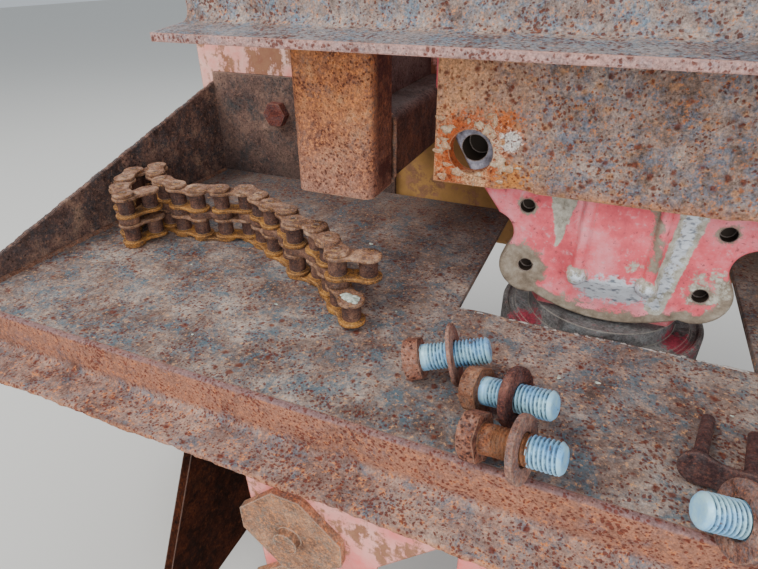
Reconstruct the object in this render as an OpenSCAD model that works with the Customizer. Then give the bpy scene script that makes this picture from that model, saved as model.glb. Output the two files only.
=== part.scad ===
// Gearbox mounting frame of a manure spreader: the drive shelf at the front of the
// machine, its beam, posts and mounting plate, the cast gearbox that the plate carries,
// and the mounting bolts and duplex coupling chain taken off and laid on the shelf.
// Frame: X across the machine, Y to the rear, Z up. The origin is on the rear face of the
// cross member, on the centre line, level with the top of the shelf.

/* [Shelf] */
// Width of the shelf between its two end plates
shelf_w = 1058; // [900:2:1300]
// Distance from the rear face to the front edge of the shelf
shelf_reach = 437; // [425:1:520]
// Thickness of the shelf plate
shelf_t = 6; // [4:0.5:8]
// Width of the rough opening cut for the gearbox
notch_w = 226; // [215:1:300]
// Distance from the rear face to the front edge of that opening
notch_reach = 273; // [272:1:290]
// Leg of the angle along the front edge
angle_leg = 40; // [30:1:50]
// Thickness of that angle
angle_t = 5; // [4:0.5:8]
// Depth of the ragged wear along the front edge of the angle
angle_wear = 1.6; // [0:0.1:3]

/* [End plates and back walls] */
// Thickness of the end plates
end_t = 5; // [4:0.5:8]
// Height of an end plate above the shelf at the front
end_front_h = 10; // [6:1:40]
// Height of an end plate above the shelf at the back wall
end_rear_h = 122; // [80:1:128]
// Height of the back walls above the shelf
wall_h = 134; // [129:1:150]
// Thickness of the back walls
wall_t = 6; // [4:0.5:8]
// Distance of each wall bolt from the end plate
wall_bolt_in = 99; // [60:1:150]
// Height of each wall bolt above the shelf
wall_bolt_z = 88; // [75:1:110]

/* [Cross member and sill] */
// Length of the cross member
member_w = 620; // [600:10:700]
// Depth of the cross member from front to rear
member_d = 38; // [30:1:60]
// Height of the cross member above the shelf
member_top = 89; // [70:1:100]
// Depth of the cross member below the shelf
member_drop = 50; // [30:1:80]
// Wall of the cross member
member_t = 5; // [4:0.5:8]
// How far the body sill stands past each end plate
sill_over = 19; // [10:1:60]
// Height of the top of the sill above the shelf
sill_top = 230; // [200:1:240]
// Height of the bottom edge of the sill above the shelf
sill_bottom = 60; // [50:1:70]

/* [Side plates] */
// Depth of the side plates below the shelf
side_drop = 250; // [200:1:300]
// Thickness of the side plates
side_t = 8; // [5:0.5:10]
// Distance of each side plate inside the end of the cross member
side_in = 13; // [8:1:30]

/* [Posts and rails] */
// Outside width of the posts and rails across the machine
tube_w = 70; // [60:1:80]
// Depth of the posts from front to rear
post_d = 50; // [40:1:80]
// Height of the rails
rail_h = 60; // [50:1:70]
// Wall of the posts and rails
tube_t = 5; // [4:0.5:8]
// Corner radius of the posts and rails
tube_r = 8; // [7:1:12]
// Distance of the posts and rails from the centre line
tube_x = 226.5; // [215:0.5:245]
// Height of the top of the posts above the shelf
post_top = 340; // [300:1:350]
// Thickness of the web plate on each rail
rail_web_t = 6; // [4:0.5:10]

/* [Beam] */
// Length of the channel beam
beam_len = 690; // [640:2:900]
// Height of the channel beam
beam_h = 152; // [140:1:160]
// Width of its flanges from the back of the web
beam_flange = 50; // [40:1:60]
// Thickness of its web
beam_web = 6; // [5:0.5:8]
// Thickness of its flanges at their tips
beam_tip = 6; // [4:0.5:7]
// Height of the underside of the beam above the shelf
beam_z = 209.5; // [205:0.5:215]
// Distance from the rear face to the back of the web
beam_reach = 279; // [275:1:290]

/* [Mounting plate] */
// Width of the mounting plate
plate_w = 278; // [270:1:300]
// Thickness of the mounting plate
plate_t = 12; // [8:0.5:16]
// Height of its bottom edge above the shelf
plate_z = 114; // [110:1:120]
// Height of its top edge above the shelf
plate_top = 345; // [343:1:352]
// Distance between its two columns of bolt holes
bolt_gap = 223; // [214:1:226]
// Height of the lower bolt holes above the shelf
bolt_low = 139; // [137:1:146]
// Height of the upper bolt holes above the shelf
bolt_high = 321; // [316:1:325]
// Diameter of the bolt holes, opened out by wear
plate_hole = 33; // [24:0.5:36]

/* [Gearbox] */
// Distance from the rear face to the gearbox's upright axis
gear_reach = 207; // [205:1:210]
// Height of the input shaft above the shelf
input_z = 292; // [288:1:296]
// Distance that the barrel and pads stand in front of the flange
barrel_rise = 11; // [9:1:22]
// Thickness of the flange
flange_t = 14; // [10:1:18]
// Distance from the centre line to the lower ear holes
ear_low_x = 64; // [62:0.5:68]
// Height of the lower ear holes above the shelf
ear_low_z = 44.5; // [43:0.5:48]
// Distance from the centre line to the upper ear holes
ear_high_x = 68.5; // [66:0.5:72]
// Height of the upper ear holes above the shelf
ear_high_z = 95.5; // [94:0.5:100]
// Diameter of the ear holes
ear_hole = 11; // [8:0.5:13]
// Radius of each lower ear round its hole
ear_r = 24; // [22:0.5:26]
// Width of the casting across its shoulders
case_w = 290; // [286:1:320]
// Height of the casting above its input shaft
case_rise = 49; // [46:1:52]
// Width of the gear housing behind the flange
housing_w = 200; // [180:1:220]
// Depth of the housing behind the upright axis
housing_back = 123; // [100:1:140]
// Radius of the round base under the casting
drum_r = 85; // [80:1:90]
// Height of the round base
drum_h = 48; // [40:1:60]
// Diameter of the input shaft
input_d = 34.9; // [30:0.1:38]
// Length of the input shaft in front of its bearing cap
input_len = 62; // [50:1:90]
// Teeth of the output coupling sprocket
sprocket_teeth = 20; // [18:1:22]
// Thickness of the output coupling sprocket
sprocket_t = 14; // [12:0.5:16]

/* [Bolts and washers] */
// Diameter of the mounting bolts
bolt_d = 19; // [16:0.5:20]
// Length of the mounting bolts under the head
bolt_len = 48; // [42:1:55]
// Width of the bolt heads across flats
head_af = 28.6; // [26:0.1:30]
// Thickness of the bolt heads
head_h = 12; // [10:0.5:14]
// Outside diameter of the washers
washer_od = 41; // [38:0.5:54]
// Thickness of the washers
washer_t = 4; // [2.5:0.1:4.5]

/* [Duplex chain] */
// Pitch of the chain, a little stretched by wear
pitch = 26; // [25:0.1:27]
// Diameter of the rollers
roller_d = 15.9; // [14:0.1:16.5]
// Distance between the two strands
strand_gap = 29.3; // [29:0.1:31]
// Width inside a strand
strand_w = 15.75; // [14:0.05:16.2]
// Thickness of the link plates
link_t = 3.1; // [2.6:0.1:3.2]
// Height of the link plates
link_h = 23; // [20:0.5:24]
// Diameter of the pins
pin_d = 8; // [7:0.1:9]

/* [Hidden] */
$fn = 64;

// Clearances: loose pieces at rest, shafts in their bores, and wide running gaps
seat = 0.3;
shaft_gap = 0.4;
run_gap = 6;
// How far a cutter stands past the face that it cuts
over = 1;

// Widths that follow from the shelf
sill_w = shelf_w + 2 * (end_t + sill_over);
wall_bolt_x = shelf_w / 2 - wall_bolt_in;

// Stations along Y, negative towards the front
front_y = -shelf_reach;
member_y = -member_d;
wall_y = member_y - wall_t;
web_y = -beam_reach;
plate_y = web_y;
case_y = plate_y + plate_t;
flange_y = case_y + barrel_rise;
flange_back = flange_y + flange_t;
cap_y = case_y - 30;
gear_y = -gear_reach;
case_back = gear_y + housing_back;
tip_y = web_y - beam_flange;
post_back = web_y + post_d;

// Levels
angle_z = -angle_leg;
rail_top = member_top + rail_h;
beam_top = beam_z + beam_h;
case_top = input_z + case_rise;
case_bottom = 4;
belly_z = 6;
lobe_x = ear_low_x - 2;
lobe_z = ear_low_z - 2;
drum_top = -shelf_t - 4;
drum_z = drum_top - drum_h;
hub_top = drum_z - run_gap;
sprocket_z = hub_top - 12 - sprocket_t;

// Round shapes that several pieces share
cap_r = 46;
cap_step = 12;
cap_hole_r = cap_r + 2;
shaft_r = input_d / 2;
out_r = 22;
neck_r = 62;
sprocket_pitch_r = pitch / 2 / sin(180 / sprocket_teeth);

// Keeper plates under the front angle: side of the square, place of the upper pin, step to
// the lower one and pin size
keeper = 78;
keeper_x = 184;
keeper_z = angle_z - 75;
keeper_pitch = 88;
keeper_pin = 20;
keeper_t = 7;
lip_y = front_y - 12;
lip_t = 8;
tab_w = 114;
tab_h = 90;

module block(from, to) {
    translate(from) cube(to - from);
}

// Carries an outline drawn in X and Z along Y
module along_y(y0, y1) {
    translate([0, y1, 0]) rotate([90, 0, 0]) linear_extrude(y1 - y0) children();
}

// Carries an outline drawn in Y and Z along X
module along_x(x0, x1) {
    translate([x0, 0, 0]) rotate([90, 0, 90]) linear_extrude(x1 - x0) children();
}

// A straight round bar or bore along Y
module rod_y(x, z, r, y0, y1) {
    translate([x, y1, z]) rotate([90, 0, 0]) cylinder(r = r, h = y1 - y0);
}

// A rectangle about its own centre with true round corners
module rounded(w, h, r) {
    square([w - 2 * r, h], center = true);
    square([w, h - 2 * r], center = true);
    for (x = [-1, 1], y = [-1, 1])
        translate([x * (w / 2 - r), y * (h / 2 - r)]) circle(r);
}

// The round fillet in the corner of two faces, drawn in the first quadrant
module fillet(r) {
    difference() {
        square(r);
        translate([r, r]) circle(r);
    }
}

module tube_section(w, h) {
    difference() {
        rounded(w, h, tube_r);
        rounded(w - 2 * tube_t, h - 2 * tube_t, tube_r - tube_t);
    }
}

// A ragged line from x0 to x1 whose depth wanders as two waves
function ragged(x0, x1, y, deep, n) = [for (i = [0 : n])
    let (x = x0 + (x1 - x0) * i / n)
    [x, y + deep * (0.6 * sin(x * 2.9) + 0.4 * sin(x * 7.3 + 40))]];

module shelf_floor() {
    half = shelf_w / 2;
    cut = notch_w / 2;
    color("#7a5f55") translate([0, 0, -shelf_t]) linear_extrude(shelf_t) difference() {
        translate([-half, front_y + angle_t]) square([shelf_w, wall_y - front_y - angle_t]);
        polygon(concat(ragged(-cut, cut, -notch_reach, 1.5, 24), [[cut, over], [-cut, over]]));
    }
}

// Angle with its upright leg flush with the shelf and its other leg reaching forwards
module front_angle() {
    root_y = front_y + angle_t;
    toe_y = root_y - angle_leg;
    color("#a3593c") intersection() {
        along_x(-shelf_w / 2, shelf_w / 2) {
            translate([front_y, angle_z]) square([angle_t, angle_leg]);
            translate([toe_y, angle_z]) square([angle_leg, angle_t]);
            translate([front_y, angle_z + angle_t]) rotate(90) fillet(angle_t);
        }
        translate([0, 0, angle_z - over]) linear_extrude(angle_leg + 2 * over)
            polygon(concat(ragged(-shelf_w / 2, shelf_w / 2, toe_y + angle_wear, angle_wear, 90),
                [[shelf_w / 2, root_y], [-shelf_w / 2, root_y]]));
    }
}

module end_plate(side) {
    inner = shelf_w / 2;
    x0 = side > 0 ? inner : -inner - end_t;
    color("#3d2f2c") along_x(x0, x0 + end_t) polygon([[front_y, angle_z], [front_y, end_front_h],
        [wall_y, end_rear_h], [wall_y + wall_t, end_rear_h], [wall_y + wall_t, angle_z]]);
}

module back_wall(side) {
    inner = tube_x + tube_w / 2 + 3;
    x0 = side > 0 ? inner : -shelf_w / 2;
    color("#6b4238") difference() {
        block([x0, wall_y, -shelf_t], [x0 + shelf_w / 2 - inner, member_y, wall_h]);
        rod_y(side * wall_bolt_x, wall_bolt_z, bolt_d / 2 + seat, wall_y - over, member_y + over);
    }
}

// Sill of the body: a plate behind the walls, folded back along its top, with its middle
// raised over the rails
module body_sill() {
    half = sill_w / 2;
    clear = member_w / 2 + seat;
    color("#a35a58") difference() {
        union() {
            along_y(member_y, member_y + member_t) polygon([[-half, sill_bottom], [-clear, sill_bottom],
                [-clear, rail_top], [clear, rail_top], [clear, sill_bottom], [half, sill_bottom],
                [half, sill_top], [-half, sill_top]]);
            block([-half, member_y, sill_top - member_t], [half, 0, sill_top]);
        }
        for (side = [-1, 1])
            rod_y(side * wall_bolt_x, wall_bolt_z, bolt_d / 2 + seat, member_y - over, member_y + member_t + over);
    }
}

module cross_member() {
    h = member_top + member_drop;
    color("#a8823f") translate([0, member_y / 2, (member_top - member_drop) / 2])
        along_x(-member_w / 2, member_w / 2) difference() {
            rounded(member_d, h, 6);
            rounded(member_d - 2 * member_t, h - 2 * member_t, 2);
        }
}

// Upright tube behind the beam, closed by a plate at its foot
module post(side) {
    color("#8c5238") translate([side * tube_x, web_y + post_d / 2, 0]) {
        translate([0, 0, member_top]) linear_extrude(tube_t) rounded(tube_w, post_d, tube_r);
        translate([0, 0, member_top + tube_t]) linear_extrude(post_top - member_top - tube_t)
            tube_section(tube_w, post_d);
    }
}

// Level tube from the post over the cross member to the rear face
module rail(side) {
    color("#6e3a30") translate([side * tube_x, 0, member_top + rail_h / 2])
        along_y(post_back, 0) tube_section(tube_w, rail_h);
}

module rail_web(side) {
    x0 = side * tube_x - rail_web_t / 2;
    color("#7d4836") block([x0, post_back, rail_top], [x0 + rail_web_t, member_y, sill_top - 8]);
}

// Channel with tapered flanges, open to the front, bored for the bearing cap and bolts
module beam() {
    root = beam_tip + 4;
    r = 9;
    bend_y = web_y - beam_web - r;
    color("#84706f") difference() {
        along_x(-beam_len / 2, beam_len / 2) polygon(concat(
            [[web_y, beam_top], [web_y, beam_z], [tip_y, beam_z], [tip_y, beam_z + beam_tip]],
            [for (a = [-90 : 15 : 0]) [bend_y + r * cos(a), beam_z + root + r + r * sin(a)]],
            [for (a = [0 : 15 : 90]) [bend_y + r * cos(a), beam_top - root - r + r * sin(a)]],
            [[tip_y, beam_top - beam_tip], [tip_y, beam_top]]));
        rod_y(0, input_z, cap_hole_r, tip_y, web_y + over);
        for (side = [-1, 1])
            rod_y(side * bolt_gap / 2, bolt_high, bolt_d / 2 + 1.5, web_y - beam_web - over, web_y + over);
    }
}

module mounting_plate() {
    color("#8a6552") difference() {
        along_y(plate_y, case_y) difference() {
            translate([-plate_w / 2, plate_z]) square([plate_w, plate_top - plate_z]);
            for (side = [-1, 1])
                translate([side * 0.27 * plate_w, plate_z - 44]) circle(46);
        }
        for (side = [-1, 1]) {
            rod_y(side * bolt_gap / 2, bolt_low, plate_hole / 2, plate_y - over, case_y + over);
            rod_y(side * bolt_gap / 2, bolt_high, bolt_d / 2 + 1.5, plate_y - over, case_y + over);
        }
        rod_y(0, input_z, cap_hole_r, plate_y - over, case_y + over);
    }
}

// Upright plate under the shelf that carries it forward of the cross member
module side_plate(side) {
    outer = member_w / 2 - side_in;
    x0 = side > 0 ? outer - side_t : -outer;
    color("#4a2a20") along_x(x0, x0 + side_t) polygon([[front_y + 0.2 * side_drop, -shelf_t],
        [front_y - 0.34 * side_drop, -side_drop], [front_y + 0.32 * side_drop, -side_drop],
        [member_y, -member_drop], [member_y, -shelf_t]]);
}

// Corner gusset hung under the angle, with the bore of each keeper pin
module gusset(side) {
    outer = keeper_x + keeper / 2;
    foot = keeper_z - keeper_pitch - keeper / 2;
    color("#b8505c") difference() {
        along_y(lip_y, lip_y + lip_t) polygon([for (p = [[outer, angle_z], [tab_w / 2 + 7, angle_z],
            [tab_w / 2 + 7, angle_z - 25], [keeper_x - 0.9 * keeper, keeper_z - 5],
            [keeper_x - keeper / 2, foot], [keeper_x + 0.4 * keeper, foot]]) [side * p.x, p.y]]);
        for (level = [keeper_z, keeper_z - keeper_pitch])
            rod_y(side * keeper_x, level, keeper_pin / 2 + seat, lip_y - over, lip_y + lip_t + over);
    }
}

// Square plates set on their corners with the corners clipped, each held by a pin
module keeper_plates(side) {
    head_y = lip_y + lip_t + seat;
    clipped = keeper_pitch - 1;
    color("#8d6a5c") for (level = [keeper_z, keeper_z - keeper_pitch]) translate([side * keeper_x, 0, level]) {
        along_y(lip_y - keeper_t, lip_y) intersection() {
            rotate(45) square(keeper, center = true);
            square(clipped, center = true);
        }
        rod_y(0, 0, keeper_pin / 2, lip_y - keeper_t - 7, head_y + 6);
        rod_y(0, 0, keeper_pin / 2 + 5, head_y, head_y + 6);
    }
}

module centre_tab() {
    foot = angle_z - tab_h;
    cut = 0.2 * tab_h;
    color("#b8505c") along_y(lip_y, lip_y + lip_t) polygon([[-tab_w / 2, angle_z], [tab_w / 2, angle_z],
        [tab_w / 2, foot + cut], [tab_w / 2 - cut, foot], [cut - tab_w / 2, foot], [-tab_w / 2, foot + cut]]);
}

module hex_head(af, h) {
    cylinder(d = af / cos(30), h = h, $fn = 6);
}

// Bolt, nut and head that clamp each back wall to the sill
module wall_bolts() {
    nut_y = member_y + member_t + head_h;
    color("#7a3f2c") for (side = [-1, 1]) translate([side * wall_bolt_x, 0, wall_bolt_z]) {
        translate([0, wall_y, 0]) rotate([90, 0, 0]) hex_head(head_af, head_h);
        rod_y(0, 0, bolt_d / 2, wall_y, nut_y + 6);
        translate([0, nut_y, 0]) rotate([90, 0, 0]) hex_head(head_af, head_h);
    }
}

// The two mounting bolts that are still in place, through beam and plate
module upper_bolts() {
    face = web_y - beam_web;
    color("#7a3f2c") for (side = [-1, 1]) translate([side * bolt_gap / 2, face, bolt_high]) {
        rotate([-90, 0, 0]) cylinder(d = bolt_d, h = bolt_len);
        rotate([90, 0, 0]) cylinder(d = washer_od, h = washer_t);
        translate([0, -washer_t, 0]) rotate([90, 0, 0]) hex_head(head_af, head_h);
    }
}

// Outline of the casting seen from the front: shoulders, waist, two lobes and the belly
module case_outline() {
    belly_r = 5 * ear_r;
    waist_x = ear_high_x + 8;
    shoulder = case_w / 2;
    intersection() {
        translate([0, belly_z + belly_r]) circle(belly_r, $fn = 128);
        translate([-lobe_x, 0]) square([2 * lobe_x, 2 * lobe_z]);
    }
    for (side = [-1, 1]) {
        translate([side * lobe_x, lobe_z]) circle(ear_r);
        difference() {
            polygon([for (p = [[0, lobe_z], [waist_x + 4, lobe_z], [waist_x + 6, 70], [waist_x + 15, 88],
                [waist_x + 28, plate_z - 9], [shoulder - 15, plate_z + 34], [shoulder, plate_z + 66],
                [shoulder, case_top - 12], [shoulder - 12, case_top], [0, case_top]]) [side * p.x, p.y]]);
            translate([side * (waist_x + 18), 69]) circle(17.5);
        }
    }
}

// Cast cover: flange with ears, bolting pads, and the ribbed barrel that tapers to the belly
module gearbox_front_case() {
    rib_x = 27;
    rib_top = plate_z + 58;
    knob_z = ear_low_z + 3;
    // Ball centres down each rib as Y, Z and radius: behind the plate, just clear of its
    // bottom edge, and at the knob
    ribs = [[case_y + 7.5, rib_top, 7], [case_y + 7.5, plate_z - 12, 7], [case_y + 3, knob_z, 8]];
    color("#c9656a") difference() {
        union() {
            along_y(flange_y, flange_back) case_outline();
            along_y(case_y, flange_back) intersection() {
                case_outline();
                translate([-case_w, rib_top]) square(2 * case_w);
            }
            for (side = [-1, 1])
                rod_y(side * bolt_gap / 2, bolt_low, 24, case_y, flange_back);
            hull() {
                along_y(case_y, case_y + 1) polygon([[-25, knob_z + 7], [-14, knob_z], [14, knob_z],
                    [25, knob_z + 7], [rib_x + 2, rib_top + 4], [-rib_x - 2, rib_top + 4]]);
                along_y(flange_y, flange_y + 1) polygon([[-40, knob_z - 3], [-24, belly_z + 12],
                    [24, belly_z + 12], [40, knob_z - 3], [58, rib_top + 4], [-58, rib_top + 4]]);
            }
            for (side = [-1, 1], row = [0, 1]) hull() for (end = [row, row + 1])
                translate([side * rib_x, ribs[end][0], ribs[end][1]]) sphere(ribs[end][2], $fn = 20);
        }
        for (side = [-1, 1]) {
            rod_y(side * ear_low_x, ear_low_z, ear_hole / 2, flange_y - over, flange_back + over);
            rod_y(side * ear_high_x, ear_high_z, ear_hole / 2, flange_y - over, flange_back + over);
            rod_y(side * bolt_gap / 2, bolt_low, bolt_d / 2 + seat, case_y - over, flange_back + over);
            rod_y(side * bolt_gap / 2, bolt_high, bolt_d / 2 + seat, case_y - over, flange_back + over);
        }
        rod_y(0, input_z, shaft_r + 3, case_y - over, flange_back + over);
    }
}

// Top and foot of the housing, and the levels that its side ribs divide it into
housing_top = case_top - 6;
housing_foot = ear_high_z - 20;
function rib_level(k) = housing_foot + 0.3 * k * (housing_top - housing_foot);

// Rear half of the casting: a rounded box, a bearing boss behind the input shaft, two ribs
// on each side and the upright barrel that stands on the base
module gearbox_rear_case() {
    color("#b95d60") difference() {
        union() {
            translate([0, 0, (housing_top + housing_foot) / 2])
                along_y(flange_back, case_back) rounded(housing_w, housing_top - housing_foot, 26);
            rod_y(0, input_z, cap_r + 4, case_back, case_back + 14);
            for (side = [-1, 1], k = [1, 2])
                translate([side * housing_w / 2, flange_back, rib_level(k) - 5])
                    block([-12, 0, 0], [12, case_back - flange_back - 24, 10]);
            intersection() {
                translate([0, gear_y, case_bottom]) cylinder(r = neck_r, h = housing_foot + 26 - case_bottom);
                block([-neck_r, flange_back, 0], [neck_r, 0, input_z]);
            }
        }
        rod_y(0, input_z, shaft_r + 3, flange_back - over, gear_y + 40);
    }
}

// Round base with a grooved neck: the output shaft leaves it downwards
module gearbox_base() {
    color("#6b4a42") translate([0, gear_y, 0]) rotate_extrude($fn = 96) polygon([
        [out_r + shaft_gap, case_bottom], [neck_r, case_bottom], [neck_r, drum_top],
        [drum_r - 11, drum_top], [drum_r - 9, drum_top - 3], [drum_r - 6, drum_top - 3], [drum_r - 4, drum_top],
        [drum_r - 2, drum_top], [drum_r, drum_top - 2], [drum_r, drum_z + 4], [drum_r - 4, drum_z],
        [out_r + shaft_gap, drum_z]]);
}

module input_cap() {
    color("#8f8a86") difference() {
        union() {
            rod_y(0, input_z, cap_r, case_y - cap_step, case_y);
            rod_y(0, input_z, 0.7 * cap_r, cap_y, case_y - cap_step);
        }
        rod_y(0, input_z, shaft_r + shaft_gap, cap_y - over, case_y + over);
    }
}

// Cap screws round the bearing cap, and the bolts that join the two halves of the casting,
// set between the levels of the housing's ribs
module case_bolts() {
    screw_af = 12;
    case_bolt_af = 17;
    color("#7a3f2c") {
        for (i = [45 : 90 : 315])
            translate([0.85 * cap_r * cos(i), case_y - cap_step, input_z + 0.85 * cap_r * sin(i)])
                rotate([90, 0, 0]) hex_head(screw_af, screw_af / 2);
        for (side = [-1, 1], k = [1.25, 1.7, 2.45])
            translate([side * (case_w + housing_w) / 4, flange_back, rib_level(k)])
                rotate([-90, 0, 0]) hex_head(case_bolt_af, case_bolt_af / 2);
    }
}

// Splined input shaft with the groove of the coupler's latch
module input_shaft() {
    y0 = cap_y - input_len;
    color("#9a9894") difference() {
        union() {
            rod_y(0, input_z, shaft_r, y0 + 3, gear_y + 20);
            translate([0, y0 + 3, input_z]) rotate([90, 0, 0]) cylinder(r1 = shaft_r, r2 = shaft_r - 3, h = 3);
        }
        for (i = [0 : 5]) translate([0, y0 - over, input_z]) rotate([0, i * 60, 0])
            block([-4.3, 0, shaft_r - 2.6], [4.3, input_len - 14, shaft_r + over]);
        translate([0, y0 + 26, input_z]) rotate([90, 0, 0]) difference() {
            cylinder(r = shaft_r + over, h = 8);
            cylinder(r = shaft_r - 2.6, h = 8);
        }
    }
}

// Half of the chain coupling on the output shaft: a toothed disc, hub and upright shaft
module output_sprocket() {
    color("#8f8a86") translate([0, gear_y, 0]) {
        translate([0, 0, sprocket_z]) linear_extrude(sprocket_t) difference() {
            circle(sprocket_pitch_r + 8, $fn = 96);
            for (i = [0 : sprocket_teeth - 1]) rotate(i * 360 / sprocket_teeth)
                translate([sprocket_pitch_r, 0]) circle(roller_d / 2 + 0.2, $fn = 32);
            for (i = [0 : sprocket_teeth - 1]) rotate((i + 0.5) * 360 / sprocket_teeth)
                translate([sprocket_pitch_r + 5, 0]) rotate(45) translate([3.4, -3.4]) square(20);
        }
        translate([0, 0, sprocket_z + sprocket_t]) cylinder(r = 46, h = hub_top - sprocket_z - sprocket_t);
        translate([0, 0, sprocket_z - 16]) cylinder(r = 40, h = 16);
        translate([0, 0, sprocket_z - 22]) cylinder(r = out_r - 2, h = 6);
        translate([0, 0, hub_top]) cylinder(r = out_r, h = case_bottom - hub_top - seat);
    }
}

// Columns: x of the head's outer face, its distance behind the front edge, heading, lean of
// the shank, diameter and thickness of the washer against the plain ones
loose_bolts = [
    [-123, 63, 12, 16, 1.1, 0.7],
    [-74, 52, -15, 15, 1, 1.5],
    [-65, 10.5, -11, 13, 1, 1.05],
    [112.5, 10.5, -164, 12, 1, 1]];
washer_slack = 0.55;

// Puts a piece drawn along +X on a loose bolt's axis, its head resting on the shelf
module on_bolt(row) {
    translate([row[0], front_y + row[1], seat + head_af / 2 * cos(row[3])])
        rotate([0, 0, row[2]]) rotate([0, -row[3], 0]) children();
}

module loose_bolt(i) {
    color("#7d4433") on_bolt(loose_bolts[i]) rotate([0, 90, 0]) rotate(30) {
        hex_head(head_af, head_h);
        translate([0, 0, head_h]) cylinder(d = bolt_d, h = bolt_len - 2);
        translate([0, 0, head_h + bolt_len - 2]) cylinder(d1 = bolt_d, d2 = bolt_d - 3, h = 2);
    }
}

// The washer hangs on the shank where its rim just meets the shelf
module loose_washer(i) {
    row = loose_bolts[i];
    rim = row[4] * washer_od / 2;
    thick = row[5] * washer_t;
    run = ((rim + washer_slack - head_af / 2) * cos(row[3]) + thick * sin(row[3])) / sin(row[3]);
    color("#8a4a34") on_bolt(row) translate([run, 0, -washer_slack]) rotate([0, 90, 0]) difference() {
        cylinder(r = rim, h = thick);
        translate([0, 0, -over]) cylinder(r = bolt_d / 2 + washer_slack + 0.2, h = thick + 2 * over);
    }
}

// Headings of the chain's links one after another, as it lies on its side on the shelf
headings = [-108, 142, 126, 112, 60, -50, -32, -16, -1, 19, 22, -23, -30, -20, -45, -8, -39, -46, 17];
end_swing = -40;
chain_start = [71 - shelf_w / 2, front_y + 175];
// The loose connecting link: its first pin across and behind the front edge, and its turn
link_place = [62.6, 39.7];
link_turn = -12;
function pin_at(i) = i == 0 ? chain_start
    : pin_at(i - 1) + pitch * [cos(headings[i - 1]), sin(headings[i - 1])];

// How far a roller or a pin's end is let into its plate
bite = 1;

// Stack of the chain upwards from the shelf
outer_low = seat;
inner_low = outer_low + link_t + seat;
mid_low = inner_low + 2 * link_t + strand_w + seat;
mid_t = strand_gap - strand_w - 2 * link_t - 2 * seat;
inner_high = mid_low + mid_t + seat;
outer_high = inner_high + 2 * link_t + strand_w + seat;

// Figure-of-eight outline of a link plate, six points round each end
module link_outline(h) {
    polygon([for (last = [0, 1], k = [0 : 5])
        let (a = -128 + k * 51.2 + 180 * (1 - last))
        [last * pitch + h / 2 * cos(a), h / 2 * sin(a)]]);
}

// The last inner link of the lower strand has swung away from the one above it
module link_frame(i, level) {
    p = pin_at(i);
    swung = i == len(headings) - 1 && level < mid_low;
    translate([p.x, p.y, level]) rotate(swung ? end_swing : headings[i]) children();
}

// Outer links: two outer plates with the pins' riveted ends, and the plate between strands
module chain_outer_links() {
    color("#6d4a44") for (i = [1 : 2 : len(headings) - 2]) {
        for (level = [outer_low, outer_high])
            link_frame(i, level) linear_extrude(link_t) link_outline(link_h - 2);
        link_frame(i, mid_low) linear_extrude(mid_t) link_outline(link_h - 2);
        for (k = [0, 1])
            link_frame(i, outer_high + link_t - bite) translate([k * pitch, 0, 0])
                cylinder(d = pin_d, h = bite + 1.6, $fn = 8);
    }
}

// Inner links: on each strand two plates joined by two rollers, bored where no pin is left
module chain_inner_links() {
    last = len(headings) - 1;
    color("#7d5a4c") for (i = [0 : 2 : last], low = [inner_low, inner_high]) difference() {
        union() {
            for (level = [low, low + link_t + strand_w])
                link_frame(i, level) linear_extrude(link_t) link_outline(link_h);
            for (k = [0, 1])
                link_frame(i, low + link_t - bite) translate([k * pitch, 0, 0])
                    cylinder(d = roller_d, h = strand_w + 2 * bite, $fn = 10);
        }
        if (i == 0 || i == last) link_frame(i, low - over) translate([i == 0 ? 0 : pitch, 0, 0])
            cylinder(d = pin_d + 0.4, h = strand_w + 2 * link_t + 2 * over, $fn = 8);
    }
}

// The chain's connecting link, its plate on edge and its two long pins lying to the rear
module connecting_link() {
    pin_len = outer_high + link_t - outer_low - link_t;
    droop = asin((link_h / 2 - pin_d / 2) / pin_len);
    color("#5f3a34") translate([link_place.x, front_y + link_place.y, seat + link_h / 2])
        rotate([0, 0, link_turn]) rotate([-droop, 0, 0]) {
        along_y(-link_t, 0) link_outline(link_h - 2);
        for (k = [0, 1]) rod_y(k * pitch, 0, pin_d / 2, 0, pin_len);
    }
}

shelf_floor();
front_angle();
end_plate(-1);  // end_plate_left
end_plate(1);  // end_plate_right
back_wall(-1);  // back_wall_left
back_wall(1);  // back_wall_right
body_sill();
cross_member();
post(-1);  // post_left
post(1);  // post_right
rail(-1);  // rail_left
rail(1);  // rail_right
rail_web(-1);  // rail_web_left
rail_web(1);  // rail_web_right
beam();
mounting_plate();
side_plate(-1);  // side_plate_left
side_plate(1);  // side_plate_right
gusset(-1);  // gusset_left
gusset(1);  // gusset_right
keeper_plates(-1);  // keeper_left
keeper_plates(1);  // keeper_right
centre_tab();
wall_bolts();
upper_bolts();
gearbox_front_case();
gearbox_rear_case();
gearbox_base();
input_cap();
case_bolts();
input_shaft();
output_sprocket();
loose_bolt(0);  // bolt_1
loose_bolt(1);  // bolt_2
loose_bolt(2);  // bolt_3
loose_bolt(3);  // bolt_4
loose_washer(0);  // washer_1
loose_washer(1);  // washer_2
loose_washer(2);  // washer_3
loose_washer(3);  // washer_4
chain_outer_links();
chain_inner_links();
connecting_link();
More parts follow.
